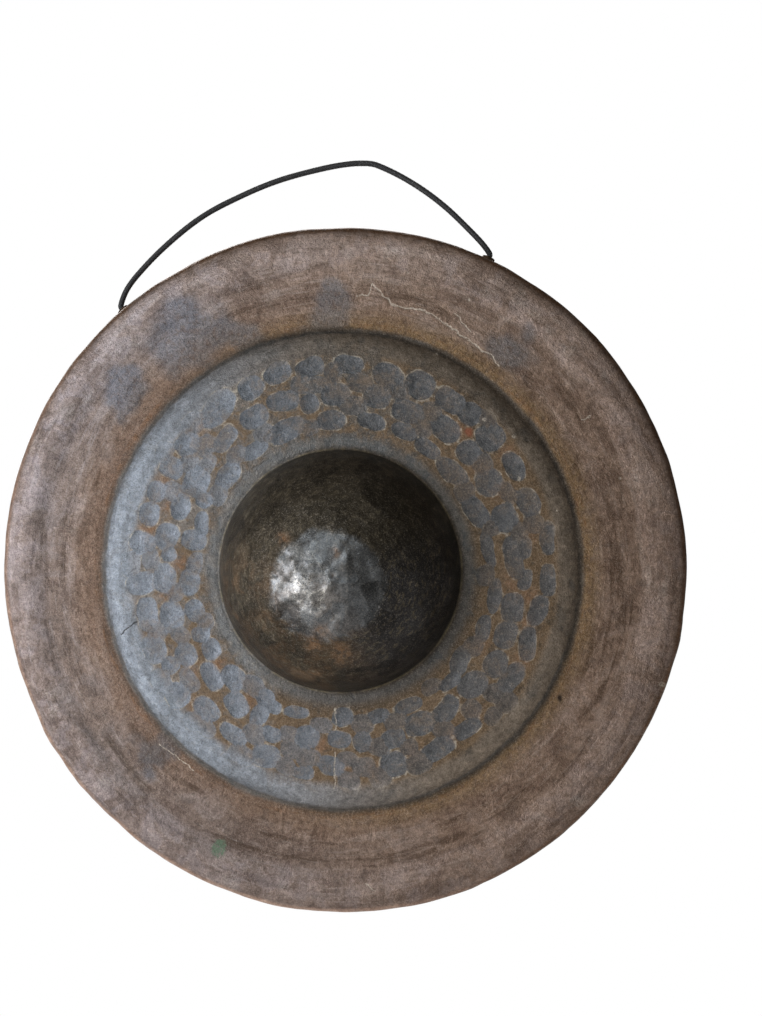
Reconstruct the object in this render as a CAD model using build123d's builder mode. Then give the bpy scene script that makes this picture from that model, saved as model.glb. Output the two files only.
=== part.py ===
from build123d import *
import math
import os

os.makedirs("parts", exist_ok=True)

# ---------------------------------------------------------------------------
# Bossed hanging gong with its braided suspension cord, hung plumb on a hook.
#
# Frame: origin at the hang point, the underside of the cord's bight where it
# bears on the hook; +Z up; the struck face looks along -Y and the open back
# along +Y; X runs from left to right as seen from the front.
# Lengths are in millimetres and angles in degrees. "Radius" of a place on the
# gong is its distance from the gong's axis.
# ---------------------------------------------------------------------------

# --- gong shell: heights are measured forward of the face plane --------------
WALL = 2.5               # thickness of the beaten bronze
FACE_Y = -11.0           # plane of the face, in front of the cord plane
AXIS_Z = -208.6          # height of the gong's axis
BACK_Y = 58.0            # plane of the open back edge of the turned rim

TIP_H = 56.0             # tip of the boss
CROWN_RADIUS = 72.0      # crown of the boss
CROWN_SWEEP = 30
HAUNCH_RADIUS = 49.0     # haunch of the boss
HAUNCH_SWEEP = 45.0
FLANK_LENGTH = 9.0       # straight steep flank down to the plateau
PLATEAU_CROWN = (86, 8.6)       # (radius, height)
PLATEAU_EDGE = (110.2, 7.8)     # (radius, height)
SHOULDER_RADIUS = 16.0
SHOULDER_SWEEP = 34.0
SHOULDER_DROP = 1.2      # straight run from the shoulder to the groove
GROOVE_RADIUS = 5.0
GROOVE_SWEEP = 36.0      # leaves the outer ring almost flat
CREASE = (152.5, 1.9)           # (radius, height) of the shallow crease
BAND_CROWN = (161.0, 2.5)       # (radius, height)
BAND_EDGE = (169.78, 2.0)       # (radius, height)
ROLL_RADIUS = 5.9        # rolled corner from the face into the rim
BARREL_RADIUS = 60.0
RIM_TAPER = 18.0         # the turned rim leans inwards by this much
SKIRT_OVERRUN = 3.0      # extra rim depth, cut off again at the back plane
BACK_EDGE_FILLET = 0.8

# --- suspension holes --------------------------------------------------------
# The gong hangs turned about its own axis, so the line through the two holes
# leans; both holes are the same angle from the gong's own top.
TOP_ANGLE = 101.15       # gong's own top, from +X towards +Z
HOLE_SPREAD = 32.75
HOLE_ANGLES = {"left": TOP_ANGLE + HOLE_SPREAD, "right": TOP_ANGLE - HOLE_SPREAD}
HOLE_R = 2.0
LIP_BASE_R = 4.6         # burr raised round the hole by the punch
LIP_TAPER = 16.0
LIP_FOOT = 173.0         # radius, inside the wall, where the lip starts
LIP_MOUTH = 177.6        # radius at the mouth of the lip
PUNCH_START = LIP_MOUTH + 1.0   # radii between which the hole is cut
PUNCH_END = 160.0

# --- cord --------------------------------------------------------------------
CORD_R = 1.5             # braided sheath, outside
BORE_R = 0.85            # inside of the sheath
CORE_R = 0.80            # bundle of core yarns
GAP = 0.3                # gap left where the cord is divided into segments
HINGE_RADIUS = 178.8     # cord turns about a point just outside the lip mouth

# share of a centre line left off at each end
CORE_MARGIN = 0.01       # core yarns in the bight and the tails
LEG_BORE_MARGIN = 0.004
LEG_CORE_MARGIN = 0.006

# centre line, (x, z) in the plane y = 0
BIGHT_LEFT = (-13.2, 0.0)
BIGHT_RIGHT = (7.1, 0.0)
BIGHT_LEFT_AIM = (-6.2, 0.95)   # the bight leaves its left end towards this
BIGHT_WAY = [(-6.2, 1.12), (-0.6, CORD_R), (3.4, 1.12)]
LEG_WAYS = {
    "left": [BIGHT_LEFT, (-24.7, -2.8), (-45.2, -9.7), (-63.9, -18.3),
             (-81.8, -28.8), (-98.7, -43.0), (-112.1, -57.2), (-121.6, -70.9)],
    "right": [BIGHT_RIGHT, (17.2, -4.2), (30.0, -11.2), (42.2, -19.5),
              (53.9, -29.5), (62.6, -37.9)],
}

# --- cord ends ---------------------------------------------------------------
KNOT_TOP = 170.1         # radius at which the stopper knot starts, inside
WRAPS = 3                # turns of the stopper knot
WRAP_PITCH = 2 * CORD_R
KNOT_LENGTH = WRAPS * WRAP_PITCH
KNOT_CLEARANCE = 0.2     # between the knot and the stub or the tail
STUB_TOP = HINGE_RADIUS - CORD_R - GAP
STUB_LENGTH = STUB_TOP - KNOT_TOP - KNOT_CLEARANCE
STUB_CORE_RECESS = 0.1   # core yarns stop this far inside each end
TAIL_TOP = KNOT_TOP - KNOT_LENGTH - KNOT_CLEARANCE
TAIL_DROP = 17.0
# (distance towards the gong's axis, distance backward, drop)
TAIL_WAY = [(0, 0, 0), (5.5, 1.6, 1.6), (8.0, 3.6, TAIL_DROP * 0.5), (8.0, 4.6, TAIL_DROP)]
BEAD_R = 1.7
BEAD_LENGTH = 2.2
BEAD_FILLET = 0.9
BEAD_GAP = 0.2           # below the end of the tail


# --- helpers -----------------------------------------------------------------
def outward(angle):
    """Unit vector pointing away from the gong's axis at a polar angle."""
    radians = math.radians(angle)
    return Vector(math.cos(radians), 0, math.sin(radians))


def on_rim(angle, radius):
    """Point in the cord plane at a polar angle and radius about the gong's axis."""
    return Vector(0, 0, AXIS_Z) + outward(angle) * radius


def radial_plane(angle, radius):
    """Plane square to the hole axis, normal pointing out of the rim."""
    return Plane(origin=on_rim(angle, radius), x_dir=(0, 1, 0), z_dir=outward(angle))


def start_plane(path):
    """Plane square to a path at its start."""
    return Plane(origin=path @ 0, z_dir=path % 0)


def along(point, towards, distance):
    """(x, z) point moved by a distance towards another."""
    dx, dz = towards[0] - point[0], towards[1] - point[1]
    length = math.hypot(dx, dz)
    return (point[0] + dx / length * distance, point[1] + dz / length * distance)


def xyz(points):
    """(x, z) points placed in the cord plane."""
    return [(x, 0.0, z) for x, z in points]


def profile_point(station):
    """Section sketch point of a (radius, height) station."""
    radius, height = station
    return (radius, FACE_Y - height)


def save(builder, name):
    builder.part.label = name
    export_step(builder.part, f"parts/{name}.step")


# --- gong: boss, plateau, groove, band and turned rim in one shell -------------
def make_gong():
    # sketch x = radius, sketch y = global Y
    section_plane = Plane(origin=(0, 0, AXIS_Z), x_dir=(1, 0, 0), z_dir=(0, 0, 1))
    with BuildPart() as gong:
        with BuildSketch(section_plane):
            with BuildLine():
                # outer surface, from the tip of the boss to the back of the rim
                crown = JernArc(start=profile_point((0, TIP_H)), tangent=(1, 0),
                                radius=CROWN_RADIUS, arc_size=CROWN_SWEEP)
                haunch = JernArc(start=crown @ 1, tangent=crown % 1,
                                 radius=HAUNCH_RADIUS, arc_size=HAUNCH_SWEEP)
                flank = PolarLine(start=haunch @ 1, length=FLANK_LENGTH,
                                  direction=haunch % 1)
                plateau = ThreePointArc(flank @ 1, profile_point(PLATEAU_CROWN),
                                        profile_point(PLATEAU_EDGE))
                shoulder = JernArc(start=plateau @ 1, tangent=plateau % 1,
                                   radius=SHOULDER_RADIUS, arc_size=SHOULDER_SWEEP)
                drop = PolarLine(start=shoulder @ 1, length=SHOULDER_DROP,
                                 direction=shoulder % 1)
                groove = JernArc(start=drop @ 1, tangent=drop % 1,
                                 radius=GROOVE_RADIUS, arc_size=-GROOVE_SWEEP)
                outer_ring = Line(groove @ 1, profile_point(CREASE))
                band = ThreePointArc(outer_ring @ 1, profile_point(BAND_CROWN),
                                     profile_point(BAND_EDGE))
                band_end = band % 1
                band_angle = math.degrees(math.atan2(band_end.Y, band_end.X))
                roll = JernArc(start=band @ 1, tangent=band_end,
                               radius=ROLL_RADIUS, arc_size=90 - band_angle)
                barrel = JernArc(start=roll @ 1, tangent=roll % 1,
                                 radius=BARREL_RADIUS, arc_size=RIM_TAPER)
                skirt_depth = BACK_Y - (barrel @ 1).Y + SKIRT_OVERRUN
                PolarLine(start=barrel @ 1, direction=barrel % 1,
                          length=skirt_depth / math.cos(math.radians(RIM_TAPER)))
                offset(amount=WALL, side=Side.LEFT)
            make_face()
        revolve(axis=Axis((0, 0, AXIS_Z), (0, 1, 0)))
        # the back edge of the turned rim is cut flat and dressed smooth
        split(bisect_by=Plane.XZ.offset(-BACK_Y), keep=Keep.TOP)
        fillet(gong.faces().sort_by(Axis.Y)[-1].edges(), BACK_EDGE_FILLET)
        # both lips are raised before either hole is cut
        for hole_angle in HOLE_ANGLES.values():
            with BuildSketch(radial_plane(hole_angle, LIP_FOOT)):
                Circle(LIP_BASE_R)
            extrude(amount=LIP_MOUTH - LIP_FOOT, taper=LIP_TAPER)
        for hole_angle in HOLE_ANGLES.values():
            with BuildSketch(radial_plane(hole_angle, PUNCH_START)):
                Circle(HOLE_R)
            extrude(amount=-(PUNCH_START - PUNCH_END), mode=Mode.SUBTRACT)
    save(gong, "gong_body")


# --- cord: round braid divided into stretches, each a sheath over core yarns ---
def make_sheath(name, points, tangents=None):
    """Open-ended sheath along a spline; returns its centre line."""
    with BuildPart() as sheath:
        with BuildLine():
            path = Spline(*points, tangents=tangents)
        with BuildSketch(start_plane(path)):
            Circle(CORD_R)
            Circle(BORE_R, mode=Mode.SUBTRACT)
        sweep()
    save(sheath, name)
    return path


def make_core(name, path, margin):
    """Core yarns along a centre line, stopping short of both its ends."""
    with BuildPart() as core:
        with BuildLine():
            core_path = path.trim(margin, 1 - margin)
            add(core_path)
        with BuildSketch(start_plane(core_path)):
            Circle(CORE_R)
        sweep()
    save(core, name)


def make_bight():
    """Short stretch that lies over the hook."""
    inset = CORD_R + GAP
    points = [along(BIGHT_LEFT, BIGHT_LEFT_AIM, inset), *BIGHT_WAY,
              along(BIGHT_RIGHT, BIGHT_WAY[-1], inset)]
    path = make_sheath("cord_bight", xyz(points))
    make_core("core_bight", path, CORE_MARGIN)


def make_leg(side):
    """Stretch from the bight down to one hole."""
    points = [*xyz(LEG_WAYS[side]), on_rim(HOLE_ANGLES[side], HINGE_RADIUS)]
    with BuildPart() as leg:
        with BuildLine():
            path = Spline(*points)
        with BuildSketch(start_plane(path)):
            Circle(CORD_R)
        sweep()
        # domed ends, each centred on the axis the leg turns about
        with Locations(path @ 0, path @ 1):
            Sphere(CORD_R)
        # hollow for the core yarns
        with BuildLine(mode=Mode.PRIVATE) as bore_line:
            bore_path = path.trim(LEG_BORE_MARGIN, 1 - LEG_BORE_MARGIN)
            add(bore_path)
        with BuildSketch(start_plane(bore_path), mode=Mode.PRIVATE) as bore_section:
            Circle(BORE_R)
        sweep(sections=bore_section.sketch, path=bore_line.line, mode=Mode.SUBTRACT)
    save(leg, "cord_leg_" + side)
    make_core("core_leg_" + side, path, LEG_CORE_MARGIN)


def make_stub(side):
    """Straight stretch standing in the punched hole."""
    angle = HOLE_ANGLES[side]
    with BuildPart() as stub:
        with BuildSketch(radial_plane(angle, STUB_TOP)):
            Circle(CORD_R)
            Circle(BORE_R, mode=Mode.SUBTRACT)
        extrude(amount=-STUB_LENGTH)
    save(stub, "cord_stub_" + side)

    with BuildPart() as core:
        with BuildSketch(radial_plane(angle, STUB_TOP - STUB_CORE_RECESS)):
            Circle(CORE_R)
        extrude(amount=-(STUB_LENGTH - 2 * STUB_CORE_RECESS))
    save(core, "core_stub_" + side)


def make_knot(side):
    """Barrel stopper knot: turns of cord side by side, inside the rim."""
    knot_plane = radial_plane(HOLE_ANGLES[side], KNOT_TOP)
    # sketch y points out of the rim, so the turns run along its negative side
    wrap_plane = Plane(origin=knot_plane.origin, x_dir=knot_plane.x_dir,
                       z_dir=knot_plane.x_dir.cross(knot_plane.z_dir))
    with BuildPart() as knot:
        with BuildSketch(wrap_plane):
            with BuildLine():
                Line((0, 0), (2 * CORD_R, 0))
                for turn in range(WRAPS):
                    ThreePointArc((2 * CORD_R, -turn * WRAP_PITCH),
                                  (3 * CORD_R, -(turn + 0.5) * WRAP_PITCH),
                                  (2 * CORD_R, -(turn + 1) * WRAP_PITCH))
                Polyline((2 * CORD_R, -KNOT_LENGTH), (0, -KNOT_LENGTH), (0, 0))
            make_face()
        revolve(axis=Axis(knot_plane.origin, knot_plane.z_dir))
    save(knot, "stopper_knot_" + side)


def make_tail(side):
    """Free tail drooping from the knot, with its end melted into a bead."""
    angle = HOLE_ANGLES[side]
    top = on_rim(angle, TAIL_TOP)
    inward = outward(angle) * -1
    points = [top + inward * distance + Vector(0, back, -drop)
              for distance, back, drop in TAIL_WAY]
    path = make_sheath("cord_tail_" + side, points, tangents=[inward, (0, 0, -1)])
    make_core("core_tail_" + side, path, CORE_MARGIN)

    bead_plane = Plane(origin=(path @ 1) - Vector(0, 0, BEAD_GAP),
                       x_dir=(1, 0, 0), z_dir=(0, 0, -1))
    with BuildPart() as bead:
        with BuildSketch(bead_plane):
            Circle(BEAD_R)
        extrude(amount=BEAD_LENGTH)
        fillet(bead.edges(), BEAD_FILLET)
    save(bead, "sealed_tip_" + side)


make_gong()
make_bight()
for side in HOLE_ANGLES:
    make_leg(side)
    make_stub(side)
    make_knot(side)
    make_tail(side)
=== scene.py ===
"""A beaten bronze gong hung on a braided cord.

The row frame has X to the right, Y to the back and Z up; the hook holds the cord at the
origin. The gong's axis is parallel to Y and passes through (0, y, GONG_Z); its boss points
to the front (-Y) and its skirt runs back to BACK_Y. Lengths are in millimetres and meshes
are scaled to metres. Angles round the gong are in degrees, counter-clockwise from +X seen
from the front. On the gong, x and z are measured from its axis.
"""
import math
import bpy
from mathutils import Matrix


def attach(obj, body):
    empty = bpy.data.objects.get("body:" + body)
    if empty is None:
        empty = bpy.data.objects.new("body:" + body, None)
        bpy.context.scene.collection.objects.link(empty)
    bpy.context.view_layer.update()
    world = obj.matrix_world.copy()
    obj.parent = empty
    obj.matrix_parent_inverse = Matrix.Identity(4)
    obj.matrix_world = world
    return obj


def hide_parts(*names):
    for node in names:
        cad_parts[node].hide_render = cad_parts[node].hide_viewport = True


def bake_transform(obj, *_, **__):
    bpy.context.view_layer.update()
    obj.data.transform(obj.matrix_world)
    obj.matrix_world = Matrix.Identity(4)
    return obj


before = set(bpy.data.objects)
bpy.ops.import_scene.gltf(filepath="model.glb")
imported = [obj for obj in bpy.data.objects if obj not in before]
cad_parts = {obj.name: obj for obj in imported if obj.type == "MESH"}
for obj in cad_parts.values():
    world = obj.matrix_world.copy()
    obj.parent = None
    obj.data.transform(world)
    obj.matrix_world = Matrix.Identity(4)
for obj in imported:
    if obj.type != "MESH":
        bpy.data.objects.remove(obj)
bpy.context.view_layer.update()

from types import SimpleNamespace

import bpy
import numpy as np
from mathutils import Matrix
from mathutils.kdtree import KDTree

MM = 0.001
GONG_Z = -208.6
WALL = 2.5
BACK_Y = 58.0
INNER_RELIEF = 0.8  # share of the outer relief that shows on the inside


# ---------------------------------------------------------------------------
# Numeric helpers
# ---------------------------------------------------------------------------
def smooth(value, start, end):
    """Smoothstep from 0 at start to 1 at end."""
    t = np.clip((np.asarray(value, float) - start) / (end - start), 0.0, 1.0)
    return t * t * (3.0 - 2.0 * t)


def bell(distance, width):
    return np.exp(-((distance / width) ** 2))


def lattice(ix, iy, iz, seed):
    """Pseudo-random value of -1..1 at whole-number lattice points."""
    h = (
        ix.astype(np.uint32) * np.uint32(374761393)
        + iy.astype(np.uint32) * np.uint32(668265263)
        + iz.astype(np.uint32) * np.uint32(2246822519)
        + np.uint32((seed * 3266489917) % 4294967296)
    )
    h = (h ^ (h >> np.uint32(13))) * np.uint32(1274126177)
    h = h ^ (h >> np.uint32(16))
    return (h & np.uint32(0xFFFF)).astype(float) / 32767.5 - 1.0


def noise(points, size, seed=0, octaves=2):
    """Smooth value noise of about -1..1; size is the wavelength in the units of points."""
    scaled = np.asarray(points, float) / size
    out = np.zeros(len(scaled))
    strength, total = 1.0, 0.0
    for octave in range(octaves):
        cell = np.floor(scaled).astype(np.int64)
        part = scaled - cell
        ease = part * part * part * (part * (part * 6 - 15) + 10)
        value = 0.0
        for i in (0, 1):
            for j in (0, 1):
                for k in (0, 1):
                    weight = (
                        (ease[:, 0] if i else 1 - ease[:, 0])
                        * (ease[:, 1] if j else 1 - ease[:, 1])
                        * (ease[:, 2] if k else 1 - ease[:, 2])
                    )
                    value = value + weight * lattice(
                        cell[:, 0] + i, cell[:, 1] + j, cell[:, 2] + k, seed + 31 * octave
                    )
        out += strength * value
        total += strength
        strength *= 0.5
        scaled = scaled * 2.03 + 17.31
    return out / total


def line_distance(x, z, line):
    """Distance of points to a polyline in the XZ plane."""
    best = np.full(len(x), 1e9)
    for (ax, az), (bx, bz) in zip(line[:-1], line[1:]):
        dx, dz = bx - ax, bz - az
        t = np.clip(((x - ax) * dx + (z - az) * dz) / max(dx * dx + dz * dz, 1e-9), 0, 1)
        best = np.minimum(best, np.hypot(x - ax - t * dx, z - az - t * dz))
    return best


def around(table, turn):
    """Read a table of (degrees, value) at the angles turn, in radians."""
    degrees, values = np.array(table, float).T
    return np.interp(np.degrees(turn) % 360, degrees, values, period=360)


def polar(degrees, radius):
    angle = math.radians(degrees)
    return radius * math.cos(angle), radius * math.sin(angle)


# ---------------------------------------------------------------------------
# Gong profile. A segment is (function, length); the function turns t in 0..1 into
# radius, y and slope (radians from the radius axis, travelling outward). The outward
# normal is (sin slope, -cos slope).
# ---------------------------------------------------------------------------
def arc(centre_r, centre_y, size, start, end):
    """Arc between two slopes in degrees; a negative size makes it hollow."""
    start, end = math.radians(start), math.radians(end)

    def at(t):
        slope = start + (end - start) * t
        return centre_r + size * np.sin(slope), centre_y - size * np.cos(slope), slope

    return at, abs((end - start) * size)


def line(start, end):
    (r0, y0), (r1, y1) = start, end
    slope = math.atan2(y1 - y0, r1 - r0)

    def at(t):
        return r0 + (r1 - r0) * t, y0 + (y1 - y0) * t, slope

    return at, math.hypot(r1 - r0, y1 - y0)


def parabola(start, middle, end):
    """Parabola y(radius) through three points."""
    (a, ya), (b, yb), (c, yc) = start, middle, end
    ka = ya / ((a - b) * (a - c))
    kb = yb / ((b - a) * (b - c))
    kc = yc / ((c - a) * (c - b))

    def at(t):
        r = a + (c - a) * t
        y = ka * (r - b) * (r - c) + kb * (r - a) * (r - c) + kc * (r - a) * (r - b)
        rise = ka * (2 * r - b - c) + kb * (2 * r - a - c) + kc * (2 * r - a - b)
        return r, y, np.arctan(rise)

    return at, math.hypot(c - a, yc - ya)


def end_of(segment):
    return [float(v) for v in segment[0](1.0)]


def arc_from(segment, size, end_slope):
    """Arc that leaves the end of a segment on its tangent."""
    r, y, slope = end_of(segment)
    centre = r - size * math.sin(slope), y + size * math.cos(slope)
    return arc(*centre, size, math.degrees(slope), end_slope)


def line_from(segment, length):
    r, y, slope = end_of(segment)
    return line((r, y), (r + length * math.cos(slope), y + length * math.sin(slope)))


FOOT = (61.16, -18.908)  # where the boss springs from the ring
BAND_START = (152.5, -12.9)
SHOULDER_TURN = 34.0
SKIRT_TAPER = 18.0  # degrees off the axis

crown = arc(0.0, 5.0, 72.0, 0, 30)
haunch = arc(11.5, -14.919, 49.0, 30, 75)
flank = line(end_of(haunch)[:2], FOOT)
plateau = parabola(FOOT, (86.0, -19.6), (110.6, -18.8))
shoulder = arc_from(plateau, 16.0, math.degrees(end_of(plateau)[2]) + SHOULDER_TURN)
drop = line_from(shoulder, 1.85)
groove = arc_from(drop, -3.0, 1.62)
annulus = line(end_of(groove)[:2], BAND_START)
band = parabola(BAND_START, (161.0, -13.5), (169.78, -13.0))
roll = arc_from(band, 5.9, 90.0)
barrel = arc_from(roll, 60.0, 90.0 + SKIRT_TAPER)
barrel_r, barrel_y, _ = end_of(barrel)
skirt_r = barrel_r - (BACK_Y - barrel_y) * math.tan(math.radians(SKIRT_TAPER))
skirt = line((barrel_r, barrel_y), (skirt_r, BACK_Y))

# Name, segment, then ring spacing and columns for the outside and for the inside.
PROFILE = [
    ("crown", crown, (1.15, 320), (3.0, 120)),
    ("haunch", haunch, (1.15, 320), (2.6, 240)),
    ("flank", flank, (1.15, 320), (2.6, 240)),
    ("plateau", plateau, (1.05, 520), (2.3, 240)),
    ("shoulder", shoulder, (1.05, 520), (2.2, 240)),
    ("drop", drop, (0.8, 520), (2.2, 240)),
    ("groove", groove, (0.55, 520), (1.2, 240)),
    ("annulus", annulus, (1.8, 360), (3.2, 240)),
    ("band", band, (1.8, 360), (3.2, 240)),
    ("roll", roll, (0.95, 360), (1.9, 240)),
    ("barrel", barrel, (2.2, 360), (3.6, 240)),
    ("skirt", skirt, (2.6, 360), (3.6, 240)),
]
# Near the tip, fewer columns inside each radius: outside, then inside.
TIP_COLUMNS = (((8.2, 80), (20.0, 160)), ((12.0, 60),))

# Hammer marks on the shallow ring round the boss: angle, radius, half width round the
# ring, half height along the radius.
DIMPLES = [
    (60.4, 102.1, 7.6, 4.9), (53.5, 102.7, 5.4, 5.7), (45.2, 101.4, 6.2, 6.7),
    (34.5, 102.1, 7.1, 4.4), (23.8, 100.7, 6.6, 4.9), (12.7, 105.7, 7.4, 3.6),
    (57.3, 88.6, 7.7, 5.2), (46.1, 87.9, 5.8, 5.2), (34.4, 87.1, 6.5, 6.2),
    (21.4, 87.2, 6.5, 5.7), (10.7, 93.7, 4.5, 3.1), (8.3, 87.2, 9.9, 4.2),
    (58.0, 75.5, 6.6, 3.4), (45.4, 75.4, 8.6, 4.4), (27.1, 74.7, 8.5, 4.4),
    (11.7, 75.2, 8.5, 3.1), (119.7, 102.4, 6.3, 5.0), (111.1, 104.7, 6.9, 4.5),
    (102.0, 103.6, 6.3, 4.5), (91.1, 104.0, 6.8, 4.3), (79.6, 100.9, 7.5, 5.6),
    (70.2, 101.7, 6.7, 6.1), (122.5, 89.1, 6.6, 4.8), (111.9, 90.5, 7.5, 4.5),
    (103.7, 85.3, 4.5, 4.3), (94.8, 88.7, 6.6, 5.3), (81.4, 89.7, 6.3, 5.4),
    (70.0, 87.2, 8.0, 4.9), (114.1, 75.8, 8.9, 5.0), (96.5, 76.0, 6.6, 4.3),
    (81.6, 76.6, 6.7, 3.8), (68.8, 77.1, 6.1, 3.6), (130.8, 102.1, 10.2, 5.8),
    (144.0, 100.2, 6.1, 5.5), (152.2, 100.0, 4.8, 5.2), (160.3, 100.9, 4.8, 4.7),
    (167.0, 100.8, 5.3, 5.0), (175.5, 101.2, 5.3, 6.0), (134.7, 88.2, 7.3, 4.0),
    (151.8, 85.7, 7.5, 5.9), (161.8, 86.8, 6.1, 4.5), (172.4, 89.5, 6.2, 5.4),
    (178.2, 86.9, 3.8, 3.5), (128.8, 74.2, 6.5, 3.5), (143.1, 74.2, 7.1, 4.7),
    (156.0, 77.0, 4.0, 3.7), (164.7, 73.7, 5.5, 3.4), (171.6, 75.7, 4.6, 5.9),
    (187.2, 101.2, 5.3, 6.9), (196.2, 100.1, 7.4, 4.7), (206.4, 101.7, 6.7, 5.5),
    (212.6, 98.2, 4.3, 3.7), (220.9, 103.9, 5.9, 5.5), (229.4, 97.4, 6.8, 5.0),
    (240.3, 98.6, 7.3, 3.7), (186.1, 89.4, 6.6, 5.4), (198.8, 88.4, 6.9, 5.4),
    (212.4, 89.0, 5.4, 4.9), (222.9, 84.0, 7.0, 4.2), (235.7, 85.2, 6.3, 4.5),
    (244.2, 83.4, 4.0, 5.5), (187.9, 76.6, 6.0, 4.9), (198.8, 76.1, 5.0, 4.7),
    (208.1, 77.7, 3.7, 4.2), (214.8, 76.2, 4.7, 4.4), (228.7, 76.4, 6.0, 5.2),
    (243.1, 74.2, 4.2, 4.0), (302.4, 101.9, 7.6, 4.3), (289.1, 100.9, 6.2, 5.6),
    (271.1, 98.3, 6.0, 4.3), (263.4, 103.7, 5.0, 3.0), (251.8, 100.9, 6.6, 5.0),
    (301.0, 86.8, 7.2, 5.1), (291.3, 88.4, 5.4, 4.5), (281.4, 86.6, 4.5, 4.8),
    (273.3, 84.8, 5.5, 3.8), (262.2, 85.4, 6.3, 5.5), (250.9, 89.7, 4.7, 3.7),
    (300.6, 76.2, 6.7, 3.3), (288.6, 75.3, 5.3, 3.0), (274.6, 73.7, 4.8, 4.3),
    (256.3, 74.6, 5.9, 2.7), (247.1, 76.3, 4.0, 3.0), (312.5, 101.3, 7.1, 3.8),
    (331.7, 100.9, 7.9, 4.4), (342.5, 100.7, 7.9, 3.9), (352.3, 101.0, 7.0, 4.1),
    (1.0, 104.6, 7.3, 3.6), (311.2, 87.7, 7.3, 4.3), (323.1, 87.6, 6.9, 5.6),
    (332.8, 91.0, 6.4, 5.1), (342.6, 89.2, 6.6, 4.9), (351.9, 88.5, 6.2, 5.4),
    (1.0, 93.1, 4.9, 3.1), (318.3, 78.4, 5.5, 3.1), (327.2, 75.3, 7.2, 4.1),
    (341.8, 77.7, 6.1, 3.6), (354.4, 78.5, 8.2, 3.1),
]
# Warm brown deposits between the marks: angle, radius.
SPOTS = [
    (38.9, 102.1), (15.6, 98.2), (52.5, 93.8), (39.8, 88.0), (30.1, 90.7), (156.8, 99.4),
    (138.4, 101.3), (171.1, 99.2), (181.3, 81.2), (162.8, 94.2), (201.8, 100.7), (217.2, 91.6),
    (226.4, 99.4), (238.9, 80.2), (190.5, 87.8), (221.5, 77.8), (283.1, 100.7), (295.2, 97.1),
    (275.1, 99.5), (267.2, 87.6), (317.0, 96.9), (307.1, 99.1), (337.6, 101.6), (348.4, 97.9),
    (356.2, 95.5), (359.1, 85.6), (335.9, 78.6),
]
# Brown deposits on the boss: x, z, width.
BOSS_SPOTS = [
    (1.0, 10.7, 2.0), (-4.6, -26.3, 3.4), (-7.0, -34.0, 4.0), (6.0, -38.0, 5.0), (-25.0, 16.0, 2.6),
]
# How far the rim strays from a true circle: angle, mm.
OUTLINE = [
    (2, 0.25), (10, 0.35), (14, 0.0), (21, 0.1), (33, -0.1), (41, 0.25), (49, 0.6), (57, 0.25),
    (66, 0.3), (75, 0.5), (87, -0.05), (95, 0.0), (103, 0.5), (111, 0.45), (120, 0.2), (133, 0.2),
    (145, 0.35), (157, 0.1), (161, -0.2), (169, 0.05), (183, -0.1), (196, -0.4), (204, -0.5),
    (212, 0.15), (220, 0.05), (228, 0.0), (232, -0.35), (240, 0.05), (244, -0.2), (252, 0.05),
    (264, 0.6), (272, 0.2), (284, 0.0), (296, 0.3), (304, -0.2), (312, 0.05), (320, -0.15),
    (336, -0.35), (344, -0.1), (352, 0.1), (356, -0.2),
]
# How far the groove strays: angle, mm.
GROOVE_WANDER = [
    (0, -0.3), (15, -0.7), (30, -0.6), (45, -1.1), (60, -0.9), (75, -0.6), (90, -0.1), (105, 0.9),
    (120, 1.4), (135, 0.8), (150, 0.5), (165, 0.4), (180, 0.9), (195, 0.7), (210, 1.2), (225, 0.4),
    (240, 0.2), (255, -0.5), (268, 0.7), (280, 0.3), (300, 1.0), (315, 0.3), (330, 0.6),
    (345, -0.2),
]
# Creases at the lower left and a low ridge at the upper right: x, z.
CREASES = [
    [(-141.9, -74.3), (-131.3, -84.4), (-107.6, -99.2), (-90.7, -121.1)],
    [(-127.1, -85.1), (-112.4, -104.7), (-103.0, -114.3)],
]
RIDGE = [(104.5, 114.5), (113.8, 101.9), (119.5, 92.2)]


def faint_marks():
    """Shallow marks that fill the gaps between the listed ones."""
    rng = np.random.default_rng(311)
    taken = [(*polar(angle, radius), max(size)) for angle, radius, *size in DIMPLES]
    marks = []
    for _ in range(4000):
        angle, radius = rng.uniform(0, 360), rng.uniform(72.5, 107.0)
        width, height = rng.uniform(4.2, 6.2), rng.uniform(3.4, 4.8)
        size = max(width, height)
        x, z = polar(angle, radius)
        if all(math.hypot(x - u, z - v) > 0.80 * (other + size) for u, v, other in taken):
            taken.append((x, z, size))
            marks.append((angle, radius, width, height))
    return marks


CROWN_RUN, HAUNCH_RUN = 37.7, 38.48  # lengths along the meridian
FACETED_RUN = 72.0


def boss_point(run):
    """Radius, y and slope on the boss at a length along its meridian."""
    if run < CROWN_RUN:
        found = crown[0](run / CROWN_RUN)
    else:
        found = haunch[0](min(1.0, (run - CROWN_RUN) / HAUNCH_RUN))
    return [float(v) for v in found]


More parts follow.
